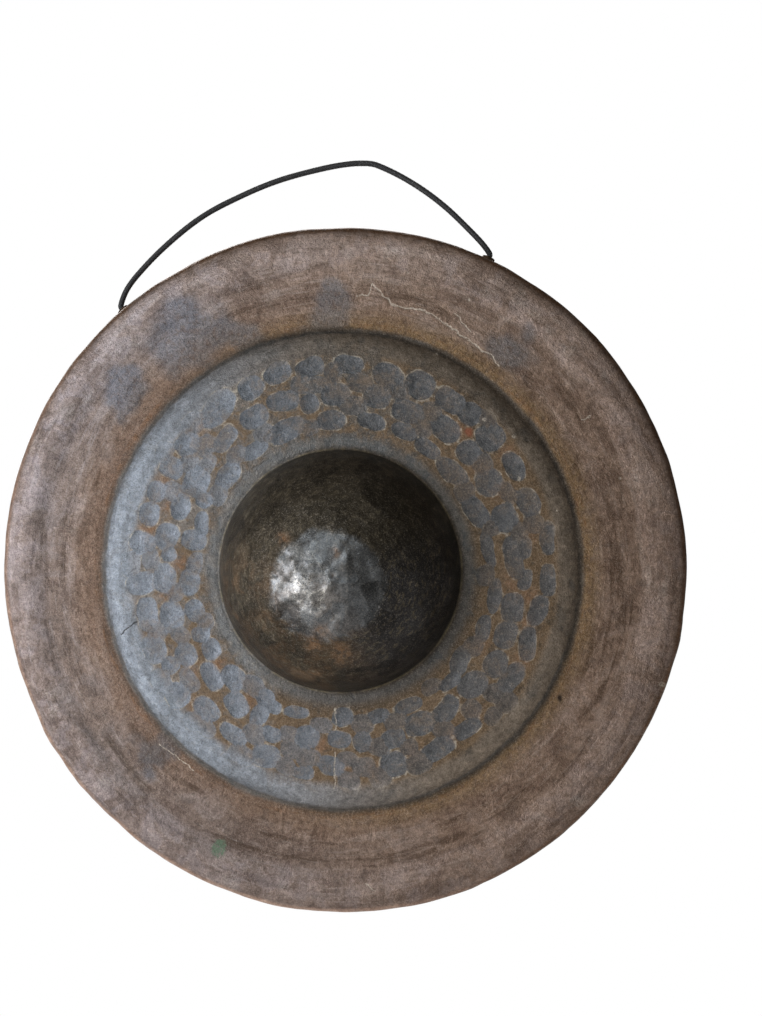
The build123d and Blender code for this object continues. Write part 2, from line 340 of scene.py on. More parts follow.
def boss_facets():
    """Rows of centre x, y, z, facing x, y, z, sink and tone, ring by ring from the tip."""
    rng = np.random.default_rng(7421)
    facets = []
    run, row = 0.0, 0
    while run < FACETED_RUN:
        girth = 2 * math.pi * boss_point(run)[0]
        count = max(1, int(round(girth / (10.5 + 1.6 * (row % 3)))))
        for j in range(count):
            place = max(0.0, run + rng.uniform(-3.6, 3.6)) if row else rng.uniform(0.5, 2.0)
            radius, y, slope = boss_point(place)
            turn = 2 * math.pi * (j + 0.5 * (row % 2) + rng.uniform(-0.32, 0.32)) / count
            cos, sin = math.cos(turn), math.sin(turn)
            facing = np.array([math.sin(slope) * cos, -math.cos(slope), math.sin(slope) * sin])
            facing = facing + rng.uniform(-0.10, 0.10, 3)
            facing /= np.linalg.norm(facing)
            sink, tone = rng.uniform(0.0, 0.30), rng.uniform(0, 1)
            facets.append((radius * cos, y, radius * sin, *facing, sink, tone))
        run += 10.0 + 1.6 * ((row * 7) % 3 - 1)
        row += 1
    return np.array(facets)


FACETS = boss_facets()
FAINT = faint_marks()


# ---------------------------------------------------------------------------
# Relief. Each function adds to the lift along the outward normal (mm) and to the masks.
# Noise calls give (points, wavelength in mm, seed).
# ---------------------------------------------------------------------------
def shape_boss(skin):
    """Dents, a low step round the crown and a centre punch."""
    pick = np.where((skin.radius < 61.3) & (skin.y < -18.5))[0]
    if not len(pick):
        return
    point, normal, radius = skin.point[pick], skin.normal[pick], skin.radius[pick]
    x, y, z = point.T
    warp = np.column_stack([noise(point, 7.0, seed) for seed in (3, 4, 5)]) * 0.8
    nearest = np.full(len(pick), 9.0)
    second = np.full(len(pick), 9.0)
    tone = np.zeros(len(pick))
    for facet in FACETS:
        offset = point + warp - facet[:3]
        close = np.where((offset**2).sum(1) < 26.0**2)[0]
        if not len(close):
            continue
        facing = facet[3:6]
        depth = (-(offset[close] @ facing) - facet[6]) / np.maximum(normal[close] @ facing, 0.3)
        second[close] = np.minimum(second[close], np.maximum(depth, nearest[close]))
        lower = depth < nearest[close]
        tone[close[lower]] = facet[7]
        nearest[close] = np.minimum(nearest[close], depth)
    gap = second - nearest
    skin.tone[pick] = tone

    upper = 1 - smooth(radius, 51.0, 61.0)
    worn = np.hypot(x + 3.0, z + 5.0) + 1.8 * noise(point, 12.0, 8)
    cap = 1 - smooth(worn, 26.0, 34.0)
    lift = np.clip(nearest, -2.0, 0.5) * (0.24 + 0.62 * cap) * smooth(61.9 - radius, 0.0, 3.0)
    # Streaks and folds run round the axis, so their noise is squeezed round the turn.
    ring = np.column_stack([skin.cos[pick] * 17.0, radius + y * 0.55, skin.sin[pick] * 17.0])
    lift += 0.34 * noise(point, 13.0, 62) * (0.4 + 0.6 * upper)
    streaks = noise(ring, 6.5, 61, 3)
    lift += 0.16 * streaks * smooth(radius, 12.0, 26.0) * (0.4 + 0.6 * upper)
    fold = (1 - np.abs(noise(ring, 11.0, 63))) ** 9
    lift += -0.30 * fold * smooth(radius, 18.0, 30.0) * upper
    # A crumpled patch left of the centre, with painted glints on its ridges.
    crumple = bell(np.hypot(x + 13.0, z + 5.0), 15.0)
    ridge = (1 - np.abs(noise(point, 6.0, 64))) ** 6
    lift += crumple * (0.34 * noise(point, 4.6, 65) + 0.20 * ridge)
    # Painted glints: pale lines along the facet ridges, strongest round the glint.
    glint = bell(np.hypot(x + 11.0, z + 4.0), 13.0)
    facet_glint = bell(gap, 0.07) * (0.10 + 0.9 * glint) * cap
    skin.edge[pick] = np.maximum(crumple * ridge * 0.5, facet_glint)
    # The step round the crown, fine unevenness, and the punch with its raised lip.
    lift += -0.55 * smooth(worn, 25.5, 28.6) * (1 - smooth(worn, 31.0, 48.0))
    lift += 0.05 * noise(point, 2.6, 9)
    centre = np.hypot(x, z)
    lift += -0.55 * bell(centre, 0.9) + 0.16 * bell(centre - 1.9, 0.7)
    skin.lift[pick] += lift
    skin.crev[pick] += 0.9 * bell(centre, 1.2)
    ragged = 1.6 * noise(point, 3.5, 66)
    for spot_x, spot_z, width in BOSS_SPOTS:
        away = np.hypot(x - spot_x, z - spot_z) + ragged
        skin.spot[pick] = np.maximum(skin.spot[pick], bell(np.maximum(away, 0), width))


def shape_marks(skin):
    """The hammered ring round the boss, and its deposits."""
    pick = np.where((skin.radius > 62.4) & (skin.radius < 116.0))[0]
    if not len(pick):
        return
    point, radius = skin.point[pick], skin.radius[pick]
    x, z = point[:, 0], point[:, 2]
    warp_x = 0.9 * noise(point, 7.0, 21) + 0.35 * noise(point, 2.6, 22)
    warp_z = 0.9 * noise(point, 7.0, 23) + 0.35 * noise(point, 2.6, 24)
    cut = np.zeros(len(pick))
    nearest = np.full(len(pick), 2.0)  # 0 at a mark's centre, about 1 at its edge
    strength = np.zeros(len(pick))
    rng = np.random.default_rng(99)
    for k, (degrees, mark_r, width, height) in enumerate(DIMPLES + FAINT):
        turn = math.radians(degrees)
        mark_x, mark_z = polar(degrees, mark_r)
        tilt = turn + math.radians(rng.uniform(-16, 16))
        depth = rng.uniform(0.40, 0.64)
        power = rng.uniform(2.1, 2.8)
        lean = rng.uniform(-0.3, 0.3)
        reach = 2.3 * max(width, height)
        near = np.where((x - mark_x) ** 2 + (z - mark_z) ** 2 < reach**2)[0]
        dx = x[near] - mark_x + warp_x[near]
        dz = z[near] - mark_z + warp_z[near]
        across = -dx * math.sin(tilt) + dz * math.cos(tilt)
        outward = dx * math.cos(tilt) + dz * math.sin(tilt)
        away = (
            np.abs(across / (width * 1.13)) ** power + np.abs(outward / (height * 1.13)) ** power
        ) ** (1 / power)
        if k >= len(DIMPLES):
            force = 0.5
        else:
            force = 0.7 if (320 < degrees or degrees < 15) else 1.0
        bowl = -depth * force * (1 - smooth(away, 0.34, 1.05)) * (
            1 + lean * np.clip(across / width, -1, 1)
        )
        cut[near] = np.minimum(cut[near], bowl)
        strength[near] = np.where(away < nearest[near], force, strength[near])
        nearest[near] = np.minimum(nearest[near], away)
    inside = 1 - smooth(nearest, 0.9, 1.08)
    zone = smooth(radius, 67.0, 73.0) * (1 - smooth(radius, 109.0, 113.5))
    skin.dimple[pick] = nearest
    skin.tone[pick] = strength
    for degrees, spot_r in SPOTS:
        spot_x, spot_z = polar(degrees, spot_r)
        away = np.hypot(x - spot_x, z - spot_z) + 1.8 * noise(point, 3.2, 26)
        patch = bell(np.maximum(away, 0), 4.4) * (1 - 0.8 * inside)
        skin.spot[pick] = np.maximum(skin.spot[pick], patch)
    # Bowls with a slight raised lip, then fine planishing.
    lift = cut + 0.05 * strength * bell(nearest - 1.10, 0.12)
    lift += 0.05 * noise(point, 3.2, 27) + 0.07 * noise(point, 12.0, 28)
    # A pit in the left shoulder.
    pit = np.hypot(x + 101.3, z + 32.1)
    skin.lift[pick] += lift - 0.9 * bell(pit, 1.5)
    dirt = np.maximum((1 - inside) * zone * 0.8, bell(pit, 1.7))
    skin.crev[pick] = np.maximum(skin.crev[pick], dirt)


def shape_shoulder(skin):
    """Hammer ripples on the shoulder, and the wandering groove beyond it."""
    radius, y = skin.radius, skin.y
    flat = skin.point * (1, 0, 1)
    flat = flat[:, [0, 2, 1]]
    zone = smooth(radius, 106.5, 113.0) * (1 - smooth(radius, 121.0, 126.0))
    skin.lift += zone * (
        0.18 * noise(flat, 6.0, 41) + 0.55 * noise(flat, 17.0, 42) + 0.05 * noise(flat, 2.8, 43)
    )
    cut = bell(radius - 122.0 - 0.7 * noise(flat, 14.0, 44), 1.9) * (y > -16.6) * (y < -5)
    skin.lift += -0.22 * cut
    skin.crev = np.maximum(skin.crev, cut)


def shape_outer_ring(skin):
    """Broad, shallow planishing marks on the flat outer ring and the rim."""
    pick = np.where(skin.radius > 124.0)[0]
    if not len(pick):
        return
    point, radius, cos, sin = skin.point[pick], skin.radius[pick], skin.cos[pick], skin.sin[pick]
    x, y, z = point.T
    broad = noise(point, 17.0, 51)
    middle = noise(point, 8.0, 52)
    ring = np.column_stack([cos * 60, radius + y * 0.6, sin * 60])
    lower_left = bell((np.degrees(skin.turn[pick]) - 222 + 180) % 360 - 180, 38.0)
    lift = smooth(radius, 124.0, 130.0) * (
        0.24 * broad + (0.08 + 0.14 * lower_left) * middle + 0.14 * noise(ring, 9.0, 53)
    )
    outer = smooth(radius, 150.0, 156.0)
    lift += outer * (0.12 + 0.42 * lower_left) * noise(point, 12.0, 54)
    skin.edge[pick] += outer * smooth(noise(point, 9.0, 55), 0.25, 0.7) * 0.3
    front = y < 0
    for crease in CREASES:
        away = line_distance(x + 1.5 * middle, z + 1.5 * broad, crease)
        lift += -0.42 * bell(away, 2.0) * front
        skin.crev[pick] = np.maximum(skin.crev[pick], 0.5 * bell(away, 1.6) * front)
    lift += 0.16 * bell(line_distance(x, z, RIDGE), 1.3) * front
    # Hammer blows round the turned rim.
    rim = smooth(radius, 168.5, 173.0) * smooth(y, -13.0, -8.0)
    rim = np.maximum(rim, (y > -6.0) * 1.0)
    cell = np.column_stack([cos * radius, y * 1.25, sin * radius])
    lift += rim * (0.20 * noise(cell, 9.5, 56) + 0.12 * noise(cell, 22.0, 57))
    skin.lift[pick] += lift


def surface(radius, y, slope, turn):
    """Lift along the outward normal, and the masks dimple, rubbed edges with painted glints, crev,
    spot and dstr.
    """
    count = len(radius)
    cos, sin = np.cos(turn), np.sin(turn)
    skin = SimpleNamespace(
        radius=radius, y=y, turn=turn, cos=cos, sin=sin,
        point=np.column_stack([radius * cos, y, radius * sin]),
        normal=np.column_stack([np.sin(slope) * cos, -np.cos(slope), np.sin(slope) * sin]),
        dimple=np.full(count, 2.0),
        **{name: np.zeros(count) for name in ("lift", "edge", "crev", "spot", "tone")},
    )
    shape_boss(skin)
    # The crease where the boss springs from the ring.
    foot = bell(radius - FOOT[0] - 0.5, 1.0) * (y > -21.5) * (radius < 70)
    skin.crev = np.maximum(skin.crev, foot)
    skin.lift += -0.15 * foot
    shape_marks(skin)
    shape_shoulder(skin)
    shape_outer_ring(skin)
    clipped = [np.clip(mask, 0, 1) for mask in (skin.edge, skin.crev, skin.spot)]
    return skin.lift, [skin.dimple, *clipped, skin.tone]


# ---------------------------------------------------------------------------
# Gong mesh
# ---------------------------------------------------------------------------
# Vertex masks: place in a hammer mark, rubbed edges with painted glints on the boss, crevices,
# deposits, strength of a mark (or tone of a boss facet), inner face, turned rim.
MASKS = ("dimple", "edge", "crev", "spot", "dstr", "inner", "rim")
INNER_MASK = MASKS.index("inner")
TIP_Y = -67.0
EDGE_COLUMNS = 360


def ring_stations(inner):
    """(radius, y, slope, columns) of each ring, from the tip to the back edge."""
    rows = []
    last_slope = 0.0
    for name, (at, length), *layouts in PROFILE:
        spacing, columns = layouts[inner]
        count = max(2, int(round(length / spacing)))
        for i in range(1 if name == "crown" else 0, count):
            radius, y, slope = (float(v) for v in at(i / count))
            if i == 0 and inner and name == "plateau":
                # The inner face turns round the foot of the boss in a small fan.
                for w in (0.0, 0.5, 1.0):
                    rows.append((radius, y, last_slope * (1 - w) + slope * w, columns))
                continue
            if i == 0:
                slope = 0.5 * (slope + last_slope)
            fewer = (few for limit, few in TIP_COLUMNS[inner] if radius < limit)
            rows.append((radius, y, slope, next(fewer, columns)))
        last_slope = float(at(1.0)[2])
    return rows


def groove_shift(turn):
    ring = np.column_stack([np.cos(turn) * 122, 0 * turn, np.sin(turn) * 122])
    return around(GROOVE_WANDER, turn) + 0.35 * noise(ring, 15.0, 71)


def stitch(ring, following):
    """Faces between two rings given as (first vertex, columns)."""
    (s0, n0), (s1, n1) = ring, following
    if n0 == n1:
        nexts = [(j, (j + 1) % n0) for j in range(n0)]
        return [(s0 + j, s1 + j, s1 + k, s0 + k) for j, k in nexts]
    faces = []
    i = j = 0
    while i < n0 or j < n1:
        if j >= n1 or (i < n0 and (i + 1) * n1 <= (j + 1) * n0):
            faces.append((s0 + i % n0, s1 + j % n1, s0 + (i + 1) % n0))
            i += 1
        else:
            faces.append((s0 + i % n0, s1 + j % n1, s1 + (j + 1) % n1))
            j += 1
    return faces


def gong_to_scene(points):
    """Millimetres about the gong's axis to metres in the row frame."""
    points = np.array(points) * MM
    points[:, 2] += GONG_Z * MM
    return points


def gong_shell():
    """Points, faces and masks of the closed shell."""
    points, masks, rings = [], [], []

    def add_ring(radius, y, slope, columns, inner=False, flat_y=None):
        turn = np.arange(columns) * 2 * math.pi / columns
        radius, y, slope = (np.full(columns, float(v)) for v in (radius, y, slope))
        lift, found = surface(radius, y, slope, turn)
        grow = around(OUTLINE, turn) * smooth(radius, 135.0, 172.0)
        near_groove = smooth(radius, 103.0, 116.0) * (1 - smooth(radius, 127.0, 148.0))
        grow = grow + groove_shift(turn) * near_groove
        push = lift * INNER_RELIEF if inner else lift
        if inner and flat_y is None:
            push = push - WALL
        ring_r = radius + np.sin(slope) * push + grow
        ring_y = y - np.cos(slope) * push if flat_y is None else np.full(columns, flat_y)
        rings.append((len(points), columns))
        points.extend(
            np.column_stack([ring_r * np.cos(turn), ring_y, ring_r * np.sin(turn)]).tolist()
        )
        rim = (not inner) * smooth(slope, 0.35, 0.8) * (1 - smooth(slope, 1.35, 1.62))
        found += [np.full(columns, float(inner)), rim * (radius > 150)]
        masks.extend(np.column_stack(found).tolist())

    zero = np.array([0.0])
    tip_lift, _ = surface(zero, np.array([TIP_Y]), zero, zero)
    points.append([0.0, TIP_Y - float(tip_lift[0]), 0.0])
    masks.append((2, 0, 0.9, 0, 0, 0, 0))
    for station in ring_stations(False):
        add_ring(*station)
    # Back edge: small rounds between the outer and inner faces.
    radius, y, slope = end_of(skirt)
    inner_r = radius - WALL / math.cos(math.radians(SKIRT_TAPER))
    add_ring(radius - 0.9 * math.cos(slope), y - 0.9, slope, EDGE_COLUMNS)
    add_ring(radius - 0.22, 0, slope, EDGE_COLUMNS, flat_y=BACK_Y - 0.25)
    add_ring(radius - 0.75, 0, slope, EDGE_COLUMNS, flat_y=BACK_Y)
    add_ring(inner_r + 0.75, 0, slope, EDGE_COLUMNS, inner=True, flat_y=BACK_Y)
    add_ring(inner_r + 0.22, 0, slope, 240, inner=True, flat_y=BACK_Y - 0.25)
    for station in reversed(ring_stations(True)):
        if station[1] <= BACK_Y - 2.0:
            add_ring(*station, inner=True)
    inner_tip = len(points)
    points.append([0.0, TIP_Y + WALL, 0.0])
    masks.append((2, 0, 0, 0, 0, 1, 0))

    first, columns = rings[0]
    faces = [(0, first + j, first + (j + 1) % columns) for j in range(columns)]
    for ring, following in zip(rings[:-1], rings[1:]):
        faces += stitch(ring, following)
    last, columns = rings[-1]
    faces += [(inner_tip, last + (j + 1) % columns, last + j) for j in range(columns)]
    return gong_to_scene(points), faces, np.array(masks, float)


def make_mesh(name, points, faces, smooth_faces=True):
    mesh = bpy.data.meshes.new(name)
    mesh.from_pydata(np.asarray(points).tolist(), [], faces)
    mesh.validate()
    if smooth_faces:
        mesh.polygons.foreach_set("use_smooth", [True] * len(mesh.polygons))
    mesh.update()
    made = bpy.data.objects.new(name, mesh)
    bpy.context.scene.collection.objects.link(made)
    return made


def set_attribute(mesh, name, values):
    attribute = mesh.attributes.new(name, "FLOAT", "POINT")
    attribute.data.foreach_set("value", np.asarray(values, np.float32))


# Two cord holes in the rim, left then right, each with a punched burr round it.
HOLES = (133.9, 68.4)
HOLE_R = 2.0


def radial_plug(degrees, radii, reach, sides, jag=0.0, seed=5):
    """Round plug along a radius of the gong; jag makes it ragged."""
    angle = math.radians(degrees)
    outward = np.array([math.cos(angle), 0.0, math.sin(angle)])
    side = np.array([0.0, 1.0, 0.0])
    other_side = np.cross(outward, side)
    rng = np.random.default_rng(seed)
    levels = 5 if jag else 2
    points, faces = [], []
    for k in range(levels):
        w = k / (levels - 1)
        radius = radii[0] + (radii[1] - radii[0]) * w**0.7
        for j in range(sides):
            turn = 2 * math.pi * j / sides
            size = radius * (1 + jag * 0.35 * math.sin(3 * turn + 1.1) + jag * 0.2 * rng.normal())
            along = reach[0] + (reach[1] - reach[0]) * w
            along += jag * w * (0.9 * math.sin(2 * turn + 0.6) + 0.4 * math.sin(5 * turn)) * 1.6
            spoke = side * math.cos(turn) + other_side * math.sin(turn)
            points.append(outward * along + spoke * size)
    for k in range(levels - 1):
        faces += stitch_tube(k * sides, sides)
    faces.append(tuple(reversed(range(sides))))
    faces.append(tuple(range((levels - 1) * sides, levels * sides)))
    return make_mesh("plug", gong_to_scene(points), faces, smooth_faces=False)


def stitch_tube(start, columns):
    """Quads from the ring at start to the ring stored just after it."""
    pairs = [(start + j, start + (j + 1) % columns) for j in range(columns)]
    return [(a, b, b + columns, a + columns) for a, b in pairs]


def apply_boolean(target, tool, operation):
    """Bake a boolean into the target and remove the tool."""
    modifier = target.modifiers.new("b", "BOOLEAN")
    modifier.operation = operation
    modifier.solver = "MANIFOLD"
    modifier.object = tool
    bpy.context.view_layer.update()
    graph = bpy.context.evaluated_depsgraph_get()
    baked = bpy.data.meshes.new_from_object(target.evaluated_get(graph))
    target.modifiers.clear()
    old = target.data
    target.data = baked
    bpy.data.meshes.remove(old)
    tool_mesh = tool.data
    bpy.data.objects.remove(tool)
    bpy.data.meshes.remove(tool_mesh)


def read_points(mesh):
    flat = np.empty(len(mesh.vertices) * 3)
    mesh.vertices.foreach_get("co", flat)
    return flat.reshape(-1, 3)


def burr_mask(places):
    """1 near each hole in the rim."""
    lip = np.zeros(len(places))
    for degrees in HOLES:
        angle = math.radians(degrees)
        outward = np.array([math.cos(angle), 0, math.sin(angle)])
        along = places @ outward
        off = np.linalg.norm(places - along[:, None] * outward, axis=1)
        lip = np.maximum(lip, (off < 6.5) * (along > 165) * (1 - smooth(off, 4.2, 6.5)))
    return lip


def paint_light_and_shade(places, inner):
    """Colour multiplier that paints broad light and shade over the front face."""
    x, y, z = places.T
    radius = np.maximum(np.hypot(x, z), 1.0)
    ux, uz = x / radius, z / radius
    wavy = radius + 4.0 * noise(places, 13.0, 81)
    left = smooth(-0.9 * ux - 0.25 * uz, -0.3, 0.75)
    outer = smooth(radius, 121.4, 123.4)
    boss = 1 - smooth(radius, 60.2, 61.0)
    painted_light_tint = np.ones((len(places), 3))
    # Outer ring, painted light and shade: cooler and dimmer on the left, brighter at the top.
    cool_light = (left * smooth(wavy, 129.0, 145.0) * outer)[:, None]
    painted_light_tint *= 1 + cool_light * np.array([-0.01, 0.11, 0.28])
    painted_light_tint *= (1 - 0.20 * left * (1 - smooth(wavy, 157.0, 165.0)) * outer)[:, None]
    top = smooth(0.9 * uz - 0.35 * ux, 0.15, 0.95)
    top = top * smooth(wavy, 132.0, 150.0) * (1 - smooth(radius, 167.0, 171.0))
    painted_light_tint *= 1 + outer[:, None] * (0.07 + top[:, None] * np.array([0.26, 0.33, 0.40]))
    # Painted shade: darker at the lower right of the boss's foot and on the upper shoulder.
    low = smooth(0.6 * ux - 0.8 * uz, 0.1, 0.9) * (1 - smooth(radius, 64.0, 82.0)) * (1 - boss)
    painted_light_tint *= (1 - 0.34 * low)[:, None]
    upper = smooth(radius, 106.0, 112.0) * (1 - outer) * smooth(uz, 0.2, 0.95)
    painted_light_tint *= (1 - 0.28 * upper)[:, None]
    # Painted light: lighter on the boss's left flank.
    flank_light = left * smooth(radius, 40.0, 54.0) * boss
    painted_light_tint *= 1 + flank_light[:, None] * np.array([0.50, 0.52, 0.54])
    front = ((inner < 0.5) * (1 - smooth(y, -7.5, -3.0)))[:, None]
    return 1 + (painted_light_tint - 1) * front


# Dark stains on the outer ring: x, z, width.
STAINS = [
    (78.8, 114.6, 15.0), (-84.4, 112.5, 26.0), (-53.5, 111.7, 15.0), (-13.7, 131.8, 15.0),
    (-112.0, 84.0, 14.0), (-90.0, -97.0, 12.0),
]


def stain_mask(places):
    stain = np.zeros(len(places))
    ragged = 11.0 * noise(places, 13.0, 82, 3)
    for x, z, width in STAINS:
        away = np.hypot(places[:, 0] - x, places[:, 2] - z) + ragged
        stain = np.maximum(stain, 1 - smooth(away, width * 0.55, width))
    return stain


def build_gong():
    points, faces, masks = gong_shell()
    made = make_mesh("gong_bronze", points, faces)
    for k, degrees in enumerate(HOLES):
        burr = radial_plug(degrees, (4.7, 3.25), (172.6, 177.35), sides=44, jag=0.10, seed=5 + k)
        apply_boolean(made, burr, "UNION")
    for degrees in HOLES:
        drill = radial_plug(degrees, (HOLE_R, HOLE_R), (160.0, 185.0), sides=36)
        apply_boolean(made, drill, "DIFFERENCE")
    mesh = made.data
    mesh.name = "gong_bronze"

    # The booleans renumber the vertices, so each takes the masks of the nearest shell point.
    tree = KDTree(len(points))
    for i, point in enumerate(points):
        tree.insert(point, i)
    tree.balance()
    found = read_points(mesh)
    masks = masks[[tree.find(point)[1] for point in found]]
    for name, mask in zip(MASKS, masks.T):
        set_attribute(mesh, name, mask)
    places = found * 1000 - np.array([0, 0, GONG_Z])
    set_attribute(mesh, "lip", burr_mask(places))
    painted_light_tint = mesh.attributes.new("painted_light_tint", "FLOAT_VECTOR", "POINT")
    colours = paint_light_and_shade(places, masks[:, INNER_MASK])
    painted_light_tint.data.foreach_set("vector", colours.astype(np.float32).ravel())
    set_attribute(mesh, "stain", stain_mask(places))
    mesh.polygons.foreach_set("use_smooth", [True] * len(mesh.polygons))
    return made


gong = build_gong()

# ---------------------------------------------------------------------------
# Cord: a braided line from the hook down each side, through the rim to a knot and a tail.
# ---------------------------------------------------------------------------
CORD_R = 1.5
CORD_COLUMNS = 40
CORD_STEP = 0.24
STRANDS = 9
BRAID_PITCH = 2.15
HINGE_R = 178.8  # radius on the gong where the cord starts to move with it
LOWER_RUN = 22.0  # length of the lower piece, above the hinge
KNOT_TURNS = 3.0
KNOT_PITCH = 1.88
KNOT_R = 2.62
KNOT_RAMP = 0.42  # turns over which the wraps open and close

# Each leg from the hook to the hinge: x, z in the row frame.
LEFT_LEG = [
    (0.0, 1.5), (-6.2, 1.12), (-13.2, 0.0), (-24.7, -2.8), (-45.2, -9.7), (-63.9, -18.3),
    (-81.8, -28.8), (-98.7, -43.0), (-112.1, -57.2), (-121.6, -70.9), (-123.98, -79.77),
]
RIGHT_LEG = [
    (0.0, 1.5), (3.4, 1.12), (7.1, 0.0), (17.2, -4.2), (30.0, -11.2), (42.2, -19.5),
    (53.9, -29.5), (62.6, -37.9), (65.82, -42.36),
]
# Tail, from the end of the knot: length toward the gong's axis, y, z, sideways on the left.
TAIL = [
    (1.2, 0.0, 0.0, 0.0), (2.6, 0.4, -0.5, 0.0), (4.6, 1.6, -2.6, 0.0), (5.8, 2.8, -6.4, 0.25),
    (6.0, 3.6, -10.8, 0.75), (5.6, 4.2, -14.6, 0.5),
]


def catmull(points, spacing=0.05):
    """Centripetal Catmull-Rom curve through the points."""
    points = np.array(points, float)
    points = np.vstack([2 * points[0] - points[1], points, 2 * points[-1] - points[-2]])
    pieces = []
    for p0, p1, p2, p3 in zip(points, points[1:], points[2:], points[3:]):
        count = max(4, int(np.linalg.norm(p2 - p1) / spacing))
        d01, d12, d23 = (max(np.linalg.norm(q) ** 0.5, 1e-6) for q in (p1 - p0, p2 - p1, p3 - p2))
        m1 = (p2 - p1) + d12 * ((p1 - p0) / d01 - (p2 - p0) / (d01 + d12))
        m2 = (p2 - p1) + d12 * ((p3 - p2) / d23 - (p3 - p1) / (d12 + d23))
        t = np.linspace(0, 1, count, endpoint=False)[:, None]
        pieces.append(
            (2 * t**3 - 3 * t**2 + 1) * p1
            + (t**3 - 2 * t**2 + t) * m1
            + (-2 * t**3 + 3 * t**2) * p2
            + (t**3 - t**2) * m2
        )
    return np.vstack([*pieces, points[-2][None]])


def resample(path, spacing):
    """Evenly spaced points, and their length along the path."""
    length = np.r_[0, np.cumsum(np.linalg.norm(np.diff(path, axis=0), axis=1))]
    count = max(2, int(round(length[-1] / spacing)) + 1)
    along = np.linspace(0, length[-1], count)
    return np.column_stack([np.interp(along, length, path[:, k]) for k in range(3)]), along


def frames(path):
    """Two side directions along a path, carried along it without twist."""
    tangents = np.gradient(path, axis=0)
    tangents /= np.linalg.norm(tangents, axis=1)[:, None]
    sides = np.zeros_like(path)
    side = np.array((0, 1, 0), float)
    for i, tangent in enumerate(tangents):
        side = side - tangent * (side @ tangent)
        side /= np.linalg.norm(side)
        sides[i] = side
    return sides, np.cross(tangents, sides)


def braid(turn, run):
    """Height of a two-family braid, about 0..1; turn is 0..1 and run is in mm."""
    a = STRANDS * turn + run / BRAID_PITCH
    b = STRANDS * turn - run / BRAID_PITCH
    cell_a, cell_b = np.floor(a), np.floor(b)
    a, b = a - cell_a, b - cell_b

    def strand(across, along):
        round_top = np.sqrt(np.clip(1 - (2 * across - 1) ** 2 * 0.92, 0, 1))
        return round_top * (0.55 + 0.45 * np.cos((along - 0.5) * math.pi))

    return np.where(((cell_a + cell_b) % 2) == 0, strand(a, b), strand(b, a))


def cord_tube(name, path, run, relief=0.16):
    """Braided tube with closed ends."""
    sides, other_sides = frames(path)
    columns = CORD_COLUMNS
    turns, runs = np.meshgrid(np.arange(columns) / columns, run)
    height = braid(turns, runs)
    wobble = noise(np.column_stack([run, 0 * run, 0 * run]), 11.0, 71) * 0.04
    radius = (CORD_R + wobble)[:, None] - relief * (1 - height)
    angle = 2 * math.pi * turns
    points = (
        path[:, None, :]
        + (np.cos(angle) * radius)[..., None] * sides[:, None, :]
        + (np.sin(angle) * radius)[..., None] * other_sides[:, None, :]
    ).reshape(-1, 3)
    last = (len(path) - 1) * columns
    faces = []
    for start in range(0, last, columns):
        faces += stitch_tube(start, columns)
    first_cap = len(points)
    for j in range(columns):
        k = (j + 1) % columns
        faces.append((first_cap, k, j))
        faces.append((first_cap + 1, last + j, last + k))
    made = make_mesh(name, np.vstack([points, path[0], path[-1]]) * MM, faces)
    set_attribute(made.data, "yarn", np.r_[height.reshape(-1), 0.5, 0.5])
    set_attribute(made.data, "run", np.r_[runs.reshape(-1), run[0], run[-1]])
    set_attribute(made.data, "turn", np.r_[turns.reshape(-1), 0, 0])
    return made


def hinge_point(degrees):
    x, z = polar(degrees, HINGE_R)
    return np.array([x, 0.0, GONG_Z + z])


def knot_path(degrees, sign):
    """Stub through the rim, three snug wraps and a limp tail, from the hinge inward."""
    angle = math.radians(degrees)
    inward = -np.array([math.cos(angle), 0.0, math.sin(angle)])
    side = np.array([0.0, 1.0, 0.0])
    other_side = np.cross(inward, side) * sign
    start = hinge_point(degrees)
    points = [start + inward * s for s in np.linspace(0, 8.4, 12)]
    count = 150
    for i in range(count + 1):
        w = i / count * (KNOT_TURNS + 2 * KNOT_RAMP) - KNOT_RAMP
        opening = min(
            1.0,
            max(0.0, (w + KNOT_RAMP) / KNOT_RAMP),
            max(0.0, (KNOT_TURNS + KNOT_RAMP - w) / KNOT_RAMP),
        )
        opening = opening * opening * (3 - 2 * opening)
        turn = 2 * math.pi * w
        spoke = side * math.cos(turn) + other_side * math.sin(turn)
        advance = 9.6 + KNOT_PITCH * (w + KNOT_RAMP)
        points.append(start + inward * advance + spoke * KNOT_R * opening)
    end = points[-1]
    for advance, y, z, sideways in TAIL:
        points.append(end + inward * advance + np.array([-sideways * sign, y, z]))
    return points


def nearest_index(values, target):
    return int(np.argmin(np.abs(values - target)))


def build_cord(side, sign, leg, degrees):
    """The upper, lower and knot pieces of one side."""
    body = [np.array([x, 0.0, z]) for x, z in leg]
    path, along = resample(catmull(body + knot_path(degrees, sign)[1:]), CORD_STEP)
    hinge = int(np.argmin(np.linalg.norm(path - hinge_point(degrees), axis=1)))
    hinge_run = along[hinge]
    # A slight waviness to the front and back.
    wave = smooth(along, 10, 30) * (1 - smooth(along, hinge_run - 22, hinge_run - 8))
    path[:, 1] += wave * 0.35 * np.sin(along * 0.12 + sign)
    run = along * sign
    cut = nearest_index(along, hinge_run - LOWER_RUN)
    return SimpleNamespace(
        side=side, path=path, along=along, hinge=hinge, hinge_run=hinge_run,
        upper=cord_tube(f"cord_upper_{side}", path[: cut + 1], run[: cut + 1]),
        lower=cord_tube(f"cord_lower_{side}", path[cut : hinge + 1], run[cut : hinge + 1]),
        knot=cord_tube(f"cord_knot_{side}", path[hinge:], run[hinge:], relief=0.15),
    )


# Melted bead: length along the cord from its end, radius.
BEAD = [
    (-0.2, 1.36), (0.2, 1.6), (0.7, 1.74), (1.3, 1.66), (1.8, 1.3), (2.15, 0.75), (2.3, 0.0),
]


